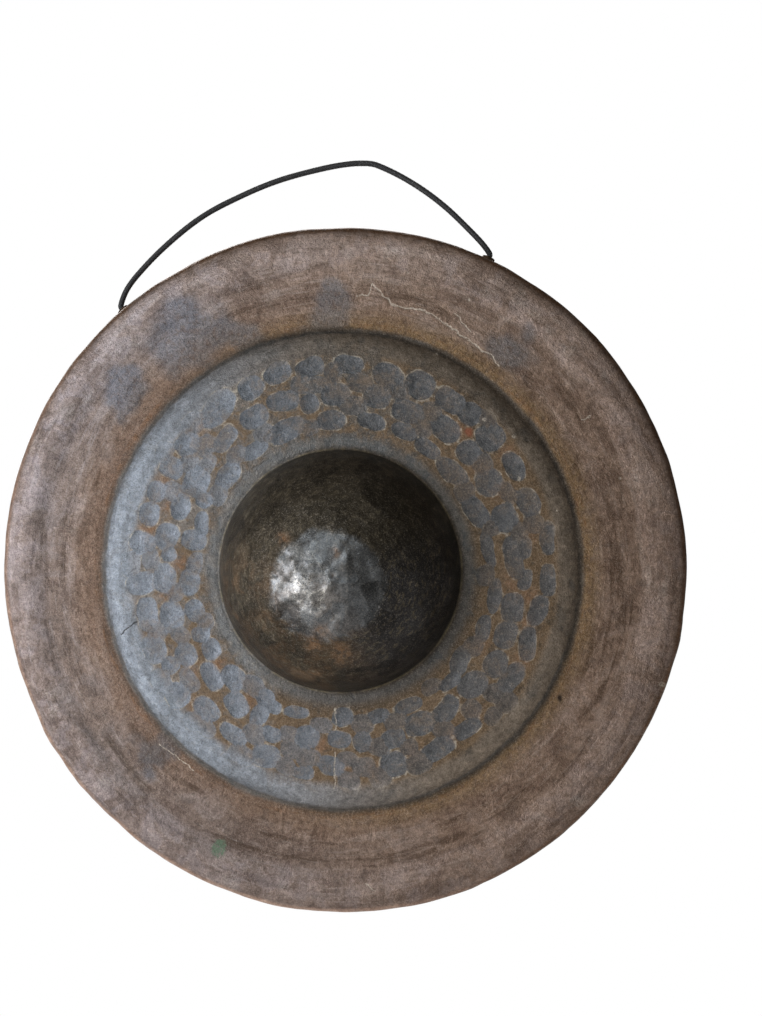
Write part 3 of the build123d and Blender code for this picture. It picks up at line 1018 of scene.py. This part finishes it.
def melted_tip(name, centre, direction, seed):
    """A lumpy bead of melted cord end."""
    direction = direction / np.linalg.norm(direction)
    side = np.cross(direction, [0.3, 1.0, 0.2])
    side /= np.linalg.norm(side)
    other_side = np.cross(direction, side)
    rows, columns = 22, 32
    stations = np.linspace(0, 1, rows)
    knots = np.linspace(0, 1, len(BEAD))
    along, radii = (np.interp(stations, knots, values) for values in np.array(BEAD).T)
    points, faces = [], []
    for k in range(rows - 1):
        for j in range(columns):
            turn = 2 * math.pi * j / columns
            cos, sin = math.cos(turn), math.sin(turn)
            place = np.array([[cos * radii[k], sin * radii[k], along[k]]])
            lump = 0.10 * float(noise(place + seed * 9.1, 1.1, seed)[0])
            spoke = side * cos + other_side * sin
            points.append(centre + direction * along[k] + spoke * radii[k] * (1 + lump))
    for k in range(rows - 2):
        faces += stitch_tube(k * columns, columns)
    top = len(points)
    last = (rows - 2) * columns
    points += [centre + direction * along[-1], centre + direction * along[0]]
    for j in range(columns):
        k = (j + 1) % columns
        faces += [(last + j, last + k, top), (k, j, top + 1)]
    return make_mesh(name, np.array(points) * MM, faces)


cords = [
    build_cord("left", -1, LEFT_LEG, HOLES[0]),
    build_cord("right", 1, RIGHT_LEG, HOLES[1]),
]
tips = [
    melted_tip(f"melted_tip_{cord.side}", cord.path[-1], cord.path[-1] - cord.path[-8], seed)
    for cord, seed in zip(cords, (3, 8))
]


# ---------------------------------------------------------------------------
# Node helpers
# ---------------------------------------------------------------------------
def srgb(colour):
    """0-255 sRGB to linear RGBA."""
    parts = [c / 255.0 for c in colour]
    return (*[c / 12.92 if c <= 0.04045 else ((c + 0.055) / 1.055) ** 2.4 for c in parts], 1.0)


class Signal:
    """A node output; arithmetic on it adds math nodes."""

    def __init__(self, tree, node, key=0):
        self.tree, self.node, self.key = tree, node, key

    def output(self, key):
        return Signal(self.tree, self.node, key)

    def __add__(self, other):
        return self.tree.math("ADD", self, other)

    def __radd__(self, other):
        return self.tree.math("ADD", other, self)

    def __sub__(self, other):
        return self.tree.math("SUBTRACT", self, other)

    def __rsub__(self, other):
        return self.tree.math("SUBTRACT", other, self)

    def __mul__(self, other):
        return self.tree.math("MULTIPLY", self, other)

    def __truediv__(self, other):
        return self.tree.math("DIVIDE", self, other)

    def __abs__(self):
        return self.tree.math("ABSOLUTE", self)

    def fade(self, start, end, low=0.0, high=1.0, kind="SMOOTHSTEP"):
        """Go from low, where the signal is start, to high, where it is end."""
        sockets = {"Value": self, "From Min": start, "From Max": end, "To Min": low, "To Max": high}
        return self.tree.add("ShaderNodeMapRange", sockets, interpolation_type=kind)

    def line(self, start, end, low, high):
        return self.fade(start, end, low, high, kind="LINEAR")

    def mix(self, under, over):
        """Use this signal as the cover of one colour over another."""
        return self.tree.mix(self, under, over)

    def times(self, other):
        return self.tree.mix(1.0, self, other, "MULTIPLY")


class Tree:
    """Adds nodes to an emptied node tree; inputs may be signals or plain values."""

    def __init__(self, node_tree):
        self.node_tree = node_tree
        node_tree.nodes.clear()

    def add(self, kind, inputs=None, output=0, **settings):
        node = self.node_tree.nodes.new(kind)
        for key, value in settings.items():
            setattr(node, key, value)
        for key, value in (inputs or {}).items():
            if isinstance(value, Signal):
                self.node_tree.links.new(value.node.outputs[value.key], node.inputs[key])
            else:
                node.inputs[key].default_value = value
        return Signal(self, node, output)

    def math(self, operation, first, second=0.0, clamp=False):
        inputs = {0: first, 1: second, 2: 0.0}
        return self.add("ShaderNodeMath", inputs, operation=operation, use_clamp=clamp)

    def mix(self, cover, under, over, blend="MIX"):
        """Mix two colours, given as signals or 0-255 sRGB."""
        under, over = (srgb(c) if isinstance(c, tuple) else c for c in (under, over))
        inputs = {0: cover, 6: under, 7: over}
        return self.add("ShaderNodeMix", inputs, 2, data_type="RGBA", blend_type=blend)

    def noise(self, vector, scale, detail=2.0, rough=0.5, distortion=0.0):
        inputs = {
            "Vector": vector, "Scale": scale, "Detail": detail, "Roughness": rough,
            "Distortion": distortion,
        }
        return self.add("ShaderNodeTexNoise", inputs)

    def vector(self, x, y, z):
        return self.add("ShaderNodeCombineXYZ", {0: x, 1: y, 2: z})

    def vmath(self, operation, first, second=(0, 0, 0), scale=1.0):
        output = 1 if operation in ("LENGTH", "DISTANCE", "DOT_PRODUCT") else 0
        inputs = {0: first, 1: second, 3: scale}
        return self.add("ShaderNodeVectorMath", inputs, output, operation=operation)

    def attribute(self, name, output="Fac"):
        return self.add("ShaderNodeAttribute", output=output, attribute_name=name)

    def bump(self, height, distance, strength, normal=None):
        inputs = {"Strength": strength, "Distance": distance, "Height": height}
        if normal is not None:
            inputs["Normal"] = normal
        return self.add("ShaderNodeBump", inputs)

    def finish(self, inputs):
        shader = self.add("ShaderNodeBsdfPrincipled", inputs)
        self.add("ShaderNodeOutputMaterial", {0: shader})


def new_material(name):
    material = bpy.data.materials.new(name)
    material.use_nodes = True
    return material, Tree(material.node_tree)


def coats(colour, layers):
    """Lay colours over one another: signal, start and end of its fade, full cover, colour."""
    for signal, start, end, cover, coat in layers:
        colour = signal.fade(start, end, high=cover).mix(colour, coat)
    return colour


def segment_group():
    """Distance from P to the segment A-B, all flat vectors in mm."""
    group = bpy.data.node_groups.new("segment_distance", "ShaderNodeTree")
    for name in ("P", "A", "B"):
        group.interface.new_socket(name, in_out="INPUT", socket_type="NodeSocketVector")
    group.interface.new_socket("Distance", in_out="OUTPUT", socket_type="NodeSocketFloat")
    tree = Tree(group)
    given = tree.add("NodeGroupInput")
    start = given.output("A")
    offset = tree.vmath("SUBTRACT", given.output("P"), start)
    span = tree.vmath("SUBTRACT", given.output("B"), start)
    dots = {0: tree.vmath("DOT_PRODUCT", offset, span), 1: tree.vmath("DOT_PRODUCT", span, span)}
    share = tree.add("ShaderNodeMath", dots, operation="DIVIDE", use_clamp=True)
    rest = tree.vmath("SUBTRACT", offset, tree.vmath("SCALE", span, scale=share))
    tree.add("NodeGroupOutput", {0: tree.vmath("LENGTH", rest)})
    return group


SEGMENT = segment_group()


def path_distance(tree, flat, path):
    best = None
    for start, end in zip(path[:-1], path[1:]):
        inputs = {"P": flat, "A": (*start, 0), "B": (*end, 0)}
        away = tree.add("ShaderNodeGroup", inputs, node_tree=SEGMENT)
        best = away if best is None else tree.math("MINIMUM", best, away)
    return best


# ---------------------------------------------------------------------------
# Bronze. Marks on the front face, as x, z.
# ---------------------------------------------------------------------------
CRACK = [
    (-0.4, 139.6), (4.7, 139.9), (7.3, 146.2), (12.8, 140.9), (17.6, 136.6), (24.9, 134.4),
    (30.4, 134.7), (38.8, 131.6), (44.5, 128.4), (51.4, 123.7), (58.3, 119.5), (65.6, 114.9),
    (70.3, 112.6), (73.2, 107.7),
]
SCRATCHES = [  # start, end, half width
    ((2.0, -69.2), (2.6, -79.3), 0.35), ((3.1, -91.4), (4.2, -109.2), 0.35),
    ((-86.6, -94.7), (-69.4, -106.3), 0.35), ((116.7, 83.7), (121.1, 85.5), 0.35),
    ((49.6, 133.4), (58.0, 125.0), 0.28), ((22.0, -157.5), (27.0, -161.0), 0.35),
]
NICKS = [  # x, z, radius
    (56.4, 140.7, 1.1), (24.8, 152.2, 1.0), (41.5, 112.0, 1.0), (67.6, 80.2, 1.3),
    (83.2, 72.6, 1.3), (86.5, 51.7, 1.5), (106.3, 36.8, 0.9), (137.8, 54.9, 0.9),
    (165.2, -47.3, 2.2), (-60.8, 66.0, 0.9),
]
DARK_LINE = [(-101.7, -32.3), (-109.5, -38.9)]


def bronze():
    """Patinated bronze; noise scales are per mm and colours are 0-255 sRGB."""
    material, tree = new_material("beaten_bronze_patina")
    place = tree.add("ShaderNodeTexCoord", output="Object")
    point = tree.vmath("SCALE", place, scale=1000.0)
    parts = tree.add("ShaderNodeSeparateXYZ", {0: point})
    x, y = parts, parts.output(1)
    z = parts.output(2) - GONG_Z
    radius = tree.math("SQRT", x * x + z * z)
    cos = x / tree.math("MAXIMUM", radius, 1.0)
    sin = z / tree.math("MAXIMUM", radius, 1.0)
    flat = tree.vector(x, z, 0.0)
    dimple, edge, crev, spot, dstr, inner, rim, lip = (
        tree.attribute(name) for name in (*MASKS, "lip")
    )

    def ring_noise(turn_scale, radius_scale, detail, rough):
        """Noise drawn out round the axis."""
        turned = tree.vector(cos * turn_scale, sin * turn_scale, radius * radius_scale)
        return tree.noise(turned, 1.0, detail, rough)

    def away_from(where, spot_x, spot_z):
        return tree.vmath("DISTANCE", where, (spot_x, spot_z, 0.0))

    # Noises from coarse to fine.
    broad = tree.noise(point, 0.022, detail=3.0, rough=0.55)
    mid = tree.noise(point, 0.075, detail=5.0, rough=0.66, distortion=0.5)
    small = tree.noise(point, 0.30, detail=4.0, rough=0.66)
    speck = tree.noise(point, 0.62, detail=4.0, rough=0.72)
    fine = tree.noise(point, 1.15, detail=2.0, rough=0.65)
    grain = tree.noise(point, 2.3, detail=1.0, rough=0.5)
    streak = ring_noise(3.6, 0.16, detail=4.0, rough=0.62)
    streaks = ring_noise(11.0, 0.75, detail=3.0, rough=0.62)
    fuzz = fine * 0.6 + grain * 0.4

    # Zones by direction, then by radius with a ragged border.
    ragged = radius + (mid - 0.5) * 4.0
    upleft = (cos * -0.62 + sin * 0.42).fade(-0.45, 0.6)
    left = (cos * -0.9 + sin * -0.25).fade(-0.3, 0.75)
    lowleft = (cos * -0.75 + sin * -0.66).fade(0.0, 0.75)
    ring = (radius + (mid - 0.5) * 2.0).fade(60.2, 61.0)
    marks = ragged.fade(65.0, 73.0) * (1.0 - ragged.fade(108.5, 113.5))
    # The shoulder band carries a painted reflection; it reaches further in on the left, toward the
    # light.
    shoulder_start = left.line(0.0, 1.0, low=107.5, high=103.5)
    shoulder_full = left.line(0.0, 1.0, low=112.5, high=109.0)
    on_shoulder = ragged.fade(shoulder_start, shoulder_full) * (
        1.0 - (ragged + 1.0).fade(120.2, 121.8)
    )
    outer = ragged.fade(121.2, 123.6)
    on_band = ragged.fade(149.0, 156.0)
    marked = dimple.fade(1.05, 0.93) * tree.math("MINIMUM", dstr * 1.3, 1.0)
    cap = (away_from(flat, -3.0, -5.0) + (mid - 0.5) * 11.0).fade(29.0, 24.5)
    patchy = mid * 0.55 + small * 0.45
    dirt_level = upleft.line(0.0, 1.0, low=0.41, high=0.515)
    dirt = (patchy - dirt_level).fade(-0.05, 0.06) * (0.25 + marks * 0.75)
    grooved = crev * (1.0 - marks)
    front = (1.0 - inner) * tree.math("LESS_THAN", y, -4.0)

    def outer_ring_colour():
        """Fine-grained brown and mauve-grey, ochre beside the groove, slate stains."""
        patch = tree.noise(point, 0.048, detail=4.0, rough=0.62, distortion=0.9)
        col = coats(small.mix((106, 84, 69), (150, 128, 113)), [
            (mid, 0.50, 0.66, 0.55, (92, 76, 66)),
            (patch, 0.50, 0.62, 0.50, (92, 72, 61)),
            (patch, 0.47, 0.36, 0.40, (150, 132, 122)),
            (streak, 0.52, 0.64, 0.66, (80, 61, 48)),
            (streak, 0.46, 0.34, 0.50, (156, 137, 125)),
            (streaks, 0.56, 0.72, 0.28, (170, 154, 142)),
        ])
        ochre = (1.0 - ragged.fade(124.0, 136.0)) * (
            small.fade(0.30, 0.60, low=0.40, high=0.90) * left.fade(0.75, 0.2, low=0.80)
        )
        col = ochre.mix(col, left.mix(
            fine.mix((108, 84, 58), (140, 116, 84)), fine.mix((101, 82, 70), (136, 112, 97)),
        ))
        pale = on_band * mid.fade(0.56, 0.40, low=0.10, high=0.38)
        col = pale.mix(col, (148, 134, 130))
        rust = abs(ragged - 125.2).fade(2.6, 0.6) * streaks.fade(0.46, 0.62, high=0.55)
        rust = rust * mid.fade(0.42, 0.58, low=0.25)
        col = rust.mix(col, (132, 94, 62))
        stain = tree.attribute("stain") * small.fade(0.3, 0.55, low=0.25, high=0.60)
        return stain.mix(col, (96, 98, 102))

    def hammered_ring_colour():
        """Slate in the marks, ochre-brown between them where dirt has stayed; painted light on the
        left and a painted reflection along the shoulder.
        """
        # Slate, grey ground and earth each have a darker copy and a lighter copy for the left:
        # painted light from the left.
        slate = left.mix(
            small.mix((72, 75, 79), (104, 107, 111)), small.mix((100, 108, 118), (144, 152, 163)),
        )
        ground = left.mix(
            small.mix((84, 86, 88), (116, 116, 114)), small.mix((98, 100, 102), (138, 139, 139)),
        )
        earth = left.mix(
            small.mix((80, 68, 54), (116, 100, 82)), small.mix((94, 82, 70), (134, 119, 104)),
        )
        ground = (marks * upleft.line(0.3, 1.0, low=0.92, high=0.55)).mix(ground, earth)
        ochre = fuzz.mix((88, 71, 51), (132, 108, 81))
        col = (dirt * 0.85).mix(ground, ochre)
        col = (marked * patchy.fade(0.66, 0.46, low=0.45, high=0.92)).mix(col, slate)
        deposit = fuzz.mix((102, 74, 52), (140, 103, 72))
        col = (spot * small.fade(0.34, 0.60, low=0.25, high=0.9)).mix(col, deposit)
        # Painted reflection along the shoulder: a lighter band, brown on the right and bright
        # bluish-white on the left.
        worn = left.mix(
            small.mix((116, 104, 91), (156, 142, 127)), small.mix((122, 130, 140), (164, 172, 182)),
        )
        col = (on_shoulder * mid.fade(0.36, 0.52, low=0.55, high=0.95)).mix(col, worn)
        # A broken pale line round each mark.
        outline = abs(dimple - 1.03).fade(0.075, 0.02)
        outline = outline * dstr * small.fade(0.44, 0.62, high=0.68)
        return outline.mix(col, (168, 162, 150))

    def boss_colour():
        """Nearly black with brown and navy casts, a worn grey crown and a painted highlight left of
        the centre.
        """
        dark = small.mix((44, 40, 34), (76, 69, 57))
        brown = (cos * -0.5 + sin * -0.86).fade(0.0, 0.9) * mid.fade(0.40, 0.62)
        dark = (brown * 0.85).mix(dark, small.mix((64, 51, 38), (100, 78, 56)))
        navy = (cos * 0.9 - sin * 0.4).fade(0.35, 0.95)
        dark = (navy * 0.6).mix(dark, (38, 42, 50))
        worn = small.mix((82, 84, 86), (106, 109, 112))
        # Painted highlight: a pale patch on the crown where the light glints.
        painted_glint = away_from(flat, -12.0, -7.0).fade(19.0, 4.0)
        col = (cap * mid.fade(0.62, 0.44, low=0.55, high=0.95)).mix(dark, worn)
        col = (painted_glint * small.fade(0.40, 0.60, low=0.08, high=0.38)).mix(col, (138, 141, 143))
        col = (streaks.fade(0.50, 0.66, high=0.7) * (1.0 - cap)).mix(col, (92, 84, 70))
        facet_tone = dstr.line(0.0, 1.0, low=0.58, high=1.42)
        col = col.times(tree.vector(facet_tone, facet_tone, facet_tone))
        return (spot * small.fade(0.34, 0.58, low=0.2, high=0.85)).mix(col, (122, 90, 60))

    def add_edges(col):
        """Groove and creases with grime and painted shade, foot of the boss, rubbed edges with
        painted glints, and the turned rim with painted light and shade.
        """
        # Dark brown in the groove and other crevices: grime in the hollows and painted shade,
        # heavier on the side away from the light.
        cover = grooved * left.fade(0.1, 0.8, low=0.74, high=0.40)
        col = cover.mix(col, small.mix((48, 38, 28), (78, 62, 42)))
        olive = abs(radius - 61.3).fade(0.75, 0.2)
        olive = olive * mid.fade(0.38, 0.60, low=0.05, high=0.60) * (1.0 - inner)
        col = olive.mix(col, (118, 108, 80))
        # Pale rubbed edges, and painted glints on the boss's ridges.
        col = (edge * fine.fade(0.36, 0.66, low=0.12, high=0.62)).mix(col, (186, 184, 178))
        # Painted light on the turned rim: brown at the top and right, lighter copper at the lower
        # left, facing the light.
        turned = lowleft.mix(
            small.mix((70, 46, 28), (116, 80, 50)), small.mix((160, 124, 106), (214, 184, 166)),
        )
        return (rim * mid.fade(0.34, 0.56, low=0.60, high=0.95)).mix(col, turned)

    def add_side_and_inside(col):
        """Brown skirt; a duller, sooty inside with bare hammer blows; dark burrs."""
        side = y.fade(-7.5, -3.0) * (1.0 - inner)
        side_colour = coats(mid.fade(0.34, 0.68).mix((92, 72, 58), (126, 105, 90)), [
            (small, 0.52, 0.70, 0.5, (150, 130, 112)),
            (streak, 0.52, 0.66, 0.5, (74, 59, 48)),
        ])
        col = side.mix(col, side_colour)
        inside = coats(mid.fade(0.34, 0.68).mix((80, 66, 55), (120, 101, 84)), [
            (broad, 0.45, 0.60, 0.5, (88, 88, 86)),
            (small, 0.56, 0.72, 0.55, (50, 41, 34)),
        ])
        inside = (marked * 0.35).mix(inside, (132, 118, 102))
        col = inner.mix(col, inside)
        return (lip * 0.75).mix(col, fine.mix((58, 44, 32), (104, 82, 62)))

    def add_grain(col):
        """Fine pitting, unevenness and hair-fine rubbed lines round the axis."""
        col = coats(col, [
            (fuzz, 0.50, 0.36, 0.36, (40, 34, 28)),
            (fuzz, 0.53, 0.70, 0.24, (184, 174, 162)),
        ])
        on_boss = 1.0 - ring
        gain = 0.95 + on_boss * (0.05 - cap * 0.45)
        uneven = 1.0 + (speck - 0.5) * gain
        uneven = uneven * (1.0 + (small - 0.5) * 0.95)
        col = col.times(tree.vector(uneven, uneven, uneven))
        hair = ring_noise(26.0, 1.9, detail=3.0, rough=0.7)
        return (hair.fade(0.63, 0.74) * (0.24 + on_boss * -0.06)).mix(col, (176, 168, 154))

    # Position in the face's plane, shaken so that the scratches come out uneven.
    shake = tree.vector(
        tree.noise(point, 0.25) * 3.0, tree.noise(point, 0.28) * 3.0, 0.0,
    )
    shaken = tree.vmath("ADD", flat, tree.vmath("SUBTRACT", shake, (1.5, 1.5, 0.0)))

    def scratch_mask():
        crack = path_distance(tree, shaken, CRACK).fade(0.62, 0.12)
        crack = crack * fine.fade(0.34, 0.52, low=0.25)
        found = [
            path_distance(tree, shaken, (start, end)).fade(width + 0.25, width * 0.3)
            for start, end, width in SCRATCHES
        ]
        found += [away_from(shaken, u, v).fade(size, size * 0.35) for u, v, size in NICKS]
        others = found[0]
        for mark in found[1:]:
            others = tree.math("MAXIMUM", others, mark)
        others = others * fine.fade(0.36, 0.54, low=0.2)
        return tree.math("MAXIMUM", crack * 0.75, others * 0.75) * front

    def add_dark_and_red(col):
        dark = path_distance(tree, shaken, DARK_LINE).fade(0.6, 0.15)
        dark = tree.math("MAXIMUM", dark, away_from(shaken, 114.6, -57.3).fade(1.7, 0.5))
        col = (dark * front * 0.85).mix(col, (30, 25, 22))
        red = away_from(shaken, 60.5, 73.7).fade(3.2, 1.0) * front
        return (red * 0.6).mix(col, (136, 66, 40))

    col = ring.mix(boss_colour(), hammered_ring_colour())
    col = outer.mix(col, outer_ring_colour())
    # Painted light and shade from the vertex tint.
    col = col.times(tree.attribute("painted_light_tint", "Vector"))
    col = add_grain(add_side_and_inside(add_edges(col)))
    scratches = scratch_mask()
    col = (scratches * 0.85).mix(col, (196, 186, 172))
    col = add_dark_and_red(col)
    # A patch of verdigris at the lower left.
    squashed = tree.vmath("MULTIPLY", shaken, (1.1, 0.95, 0.0))
    patch_noise = tree.noise(point, 0.34, detail=3.0)
    green = (away_from(squashed, -58.96, -137.8) + (patch_noise - 0.5) * 5.0).fade(5.2, 3.2)
    green = green * front * speck.fade(0.38, 0.54, low=0.10)
    col = (green * 0.9).mix(col, fine.mix((62, 88, 68), (118, 140, 116)))

    # Rougher in dirt, groove and verdigris; smoother on the boss, on rubbed edges and on ridges
    # painted as glints.
    on_boss = 1.0 - ring
    rough = 0.37 + mid * 0.20 + dirt * marks * 0.10 + grooved * 0.12 - edge * 0.08
    rough = rough + on_shoulder * 0.06 - on_boss * (0.03 + cap * 0.14)
    rough = rough + (fuzz - 0.5) * 0.16 + green * 0.3
    rough = tree.math("ADD", rough, inner * 0.10, clamp=True)
    # Deposits hide the metal.
    metal = 0.88 - dirt * marks * 0.30 - spot * 0.3 - grooved * 0.3 - mid.fade(0.5, 0.7) * 0.16
    metal = tree.math("SUBTRACT", metal, green * 0.7, clamp=True)

    mark_wall = dimple.fade(0.84, 1.02) * dstr * (1.0 - dimple.fade(1.6, 1.95))
    calm = 1.0 - cap * on_boss * 0.85
    normal = None
    for height, distance, strength in (  # distance in metres
        (mark_wall, 0.00009, 1.0),
        ((mid * 1.0 + small * 0.55) * calm, 0.00060, 0.9),
        (streaks, 0.00012, 0.9),
        (fuzz * calm, 0.00032, 0.95),
        (scratches, -0.00015, 0.8),
    ):
        normal = tree.bump(height, distance, strength, normal)
    tree.finish({"Base Color": col, "Metallic": metal, "Roughness": rough, "Normal": normal})
    return material


def cord_material():
    """Black braid with fine filaments, painted shade in the gaps between strands, pale flecks and
    worn lengths.
    """
    material, tree = new_material("braided_sheath_black")
    yarn, run, turn = (tree.attribute(name) for name in ("yarn", "run", "turn"))
    filament = tree.noise(tree.vector(run * 2.2, turn * 60.0, 0.0), 1.0)
    fleck = tree.noise(tree.vector(run * 0.9, turn * 9.0, 3.0), 1.0, rough=0.6)
    worn = tree.noise(tree.vector(run * 0.08, 0.0, 7.0), 1.0)
    # Painted shade: near black in the gaps between strands, grey filaments on the strand tops.
    col = yarn.mix((8, 8, 9), filament.mix((20, 20, 22), (44, 44, 48)))
    col = (fleck.fade(0.60, 0.74) * yarn.fade(0.5, 0.95)).mix(col, (128, 130, 134))
    col = worn.fade(0.5, 0.75, high=0.25).mix(col, (70, 66, 62))
    tree.finish({
        "Base Color": col,
        "Roughness": filament.line(0.3, 0.7, low=0.42, high=0.66),
        "Normal": tree.bump(filament, distance=0.00006, strength=0.9),
        "Sheen Weight": 0.15,
        "Specular IOR Level": 0.45,
    })
    return material


def melt_material():
    """Dark, glossy melted cord; noise scales are per metre."""
    material, tree = new_material("melted_cord_end")
    place = tree.add("ShaderNodeTexCoord", output="Object")
    lumps = tree.noise(place, 900.0, detail=3.0, rough=0.6)
    pits = tree.noise(place, 2600.0)
    tree.finish({
        "Base Color": lumps.mix((14, 13, 13), (46, 40, 36)),
        "Roughness": lumps.line(0.3, 0.7, low=0.22, high=0.42),
        "Normal": tree.bump(pits, distance=0.00008, strength=0.7),
        "Coat Weight": 0.3,
    })
    return material


# ---------------------------------------------------------------------------
# Materials, the model parts each piece stands for, and the pieces attached to the gong
# ---------------------------------------------------------------------------
BRONZE = bronze()
BRAID = cord_material()
MELT = melt_material()

gong.data.materials.clear()
gong.data.materials.append(BRONZE)
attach(gong, "gong")
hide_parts("gong_body")

for cord in cords:
    for piece in (cord.upper, cord.lower, cord.knot):
        piece.data.materials.append(BRAID)

    def cord_point(run):
        return tuple(cord.path[nearest_index(cord.along, run)] * MM)

    side = cord.side
    hinge = tuple(cord.path[cord.hinge] * MM)
    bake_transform(cord.upper, "hook_bight", "cord_legs", cord_point(7.0), cord_point(34.0))
    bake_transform(cord.lower, "cord_legs", "gong", cord_point(cord.hinge_run - 13.0), hinge)
    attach(cord.knot, "gong")
    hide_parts("cord_bight", "core_bight")
    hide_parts(f"cord_leg_{side}", f"core_leg_{side}")
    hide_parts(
        f"cord_stub_{side}", f"core_stub_{side}", f"stopper_knot_{side}",
        f"cord_tail_{side}", f"core_tail_{side}",
    )
for cord, tip in zip(cords, tips):
    tip.data.materials.append(MELT)
    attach(tip, "gong")
    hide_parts(f"sealed_tip_{cord.side}")

# ---------------------------------------------------------------------------
# Stage: pale floor, soft light from the left, camera. Lengths here are in metres.
# ---------------------------------------------------------------------------
scene = bpy.context.scene
scene.view_settings.view_transform = "Standard"
scene.view_settings.look = "None"
scene.view_settings.exposure = 0.0
scene.view_settings.gamma = 1.0
WHITE = (1, 1, 1, 1)


def split_by_camera(tree, output_kind, lit, seen):
    """Show one shader to the camera and light the scene with the other."""
    ray = tree.add("ShaderNodeLightPath", output="Is Camera Ray")
    tree.add(output_kind, {0: tree.add("ShaderNodeMixShader", {0: ray, 1: lit, 2: seen})})


def build_world():
    """White to the camera; as light, warm and stronger from the left."""
    world = bpy.data.worlds.new("studio") if scene.world is None else scene.world
    scene.world = world
    world.use_nodes = True
    tree = Tree(world.node_tree)
    direction = tree.add("ShaderNodeTexCoord", output="Generated")
    across = tree.add("ShaderNodeSeparateXYZ", {0: direction})
    strength = across.fade(-0.95, 0.75, low=0.52, high=0.11)
    lit = tree.add("ShaderNodeBackground", {0: (1.02, 0.97, 0.89, 1), 1: strength})
    seen = tree.add("ShaderNodeBackground", {0: WHITE, 1: 1.0})
    split_by_camera(tree, "ShaderNodeOutputWorld", lit, seen)


def build_floor():
    bpy.ops.mesh.primitive_plane_add(size=16, location=(0, 0, -0.62))
    floor = bpy.context.object
    floor.name = "floor"
    material, tree = new_material("pale_floor")
    lit = tree.add("ShaderNodeBsdfDiffuse", {0: (0.85, 0.85, 0.85, 1)})
    seen = tree.add("ShaderNodeEmission", {0: WHITE, 1: 1.0})
    split_by_camera(tree, "ShaderNodeOutputMaterial", lit, seen)
    floor.data.materials.append(material)


def area_light(name, location, width, height, power, color):
    """Rectangular light aimed at the centre of the gong."""
    light = bpy.data.lights.new(name, "AREA")
    light.shape = "RECTANGLE"
    light.size = width
    light.size_y = height
    light.energy = power
    light.color = color
    lamp = bpy.data.objects.new(name, light)
    scene.collection.objects.link(lamp)
    aim = np.array((0.0, 0.0, GONG_Z * MM)) - np.array(location, float)
    z = -(aim / np.linalg.norm(aim))
    x = np.cross([0, 0, 1.0], z)
    x /= np.linalg.norm(x)
    y = np.cross(z, x)
    pose = Matrix.Identity(4)
    for i in range(3):
        pose[i][0], pose[i][1], pose[i][2], pose[i][3] = x[i], y[i], z[i], location[i]
    lamp.matrix_world = pose
    lamp.visible_camera = False


def build_camera():
    camera = bpy.data.cameras.new("photo_camera")
    camera.lens = 48.696
    camera.sensor_width = 36.0
    camera.sensor_fit = "AUTO"
    camera.clip_start = 0.01
    holder = bpy.data.objects.new("photo_camera", camera)
    scene.collection.objects.link(holder)
    holder.matrix_world = Matrix((
        (0.997035, -0.061735, 0.045929, 0.05048),
        (0.046109, 0.001487, -0.998935, -0.709255),
        (0.061601, 0.998091, 0.004329, -0.172719),
        (0.0, 0.0, 0.0, 1.0),
    ))
    scene.camera = holder


build_world()
build_floor()
area_light(
    "key_left", (-1.05, -1.0, -0.46), width=0.80, height=0.95, power=13.0, color=(0.96, 0.98, 1.04)
)
area_light(
    "low_left", (-0.50, -0.90, -0.56), width=0.8, height=0.35, power=1.6, color=(1.0, 0.95, 0.88)
)
area_light(
    "up_left", (-0.45, -1.3, 0.35), width=0.9, height=0.7, power=3.6, color=(0.90, 0.98, 1.04)
)
area_light("back_soft", (-0.5, 1.6, 0.5), width=1.4, height=1.4, power=34.0, color=(1, 1, 1))
build_camera()
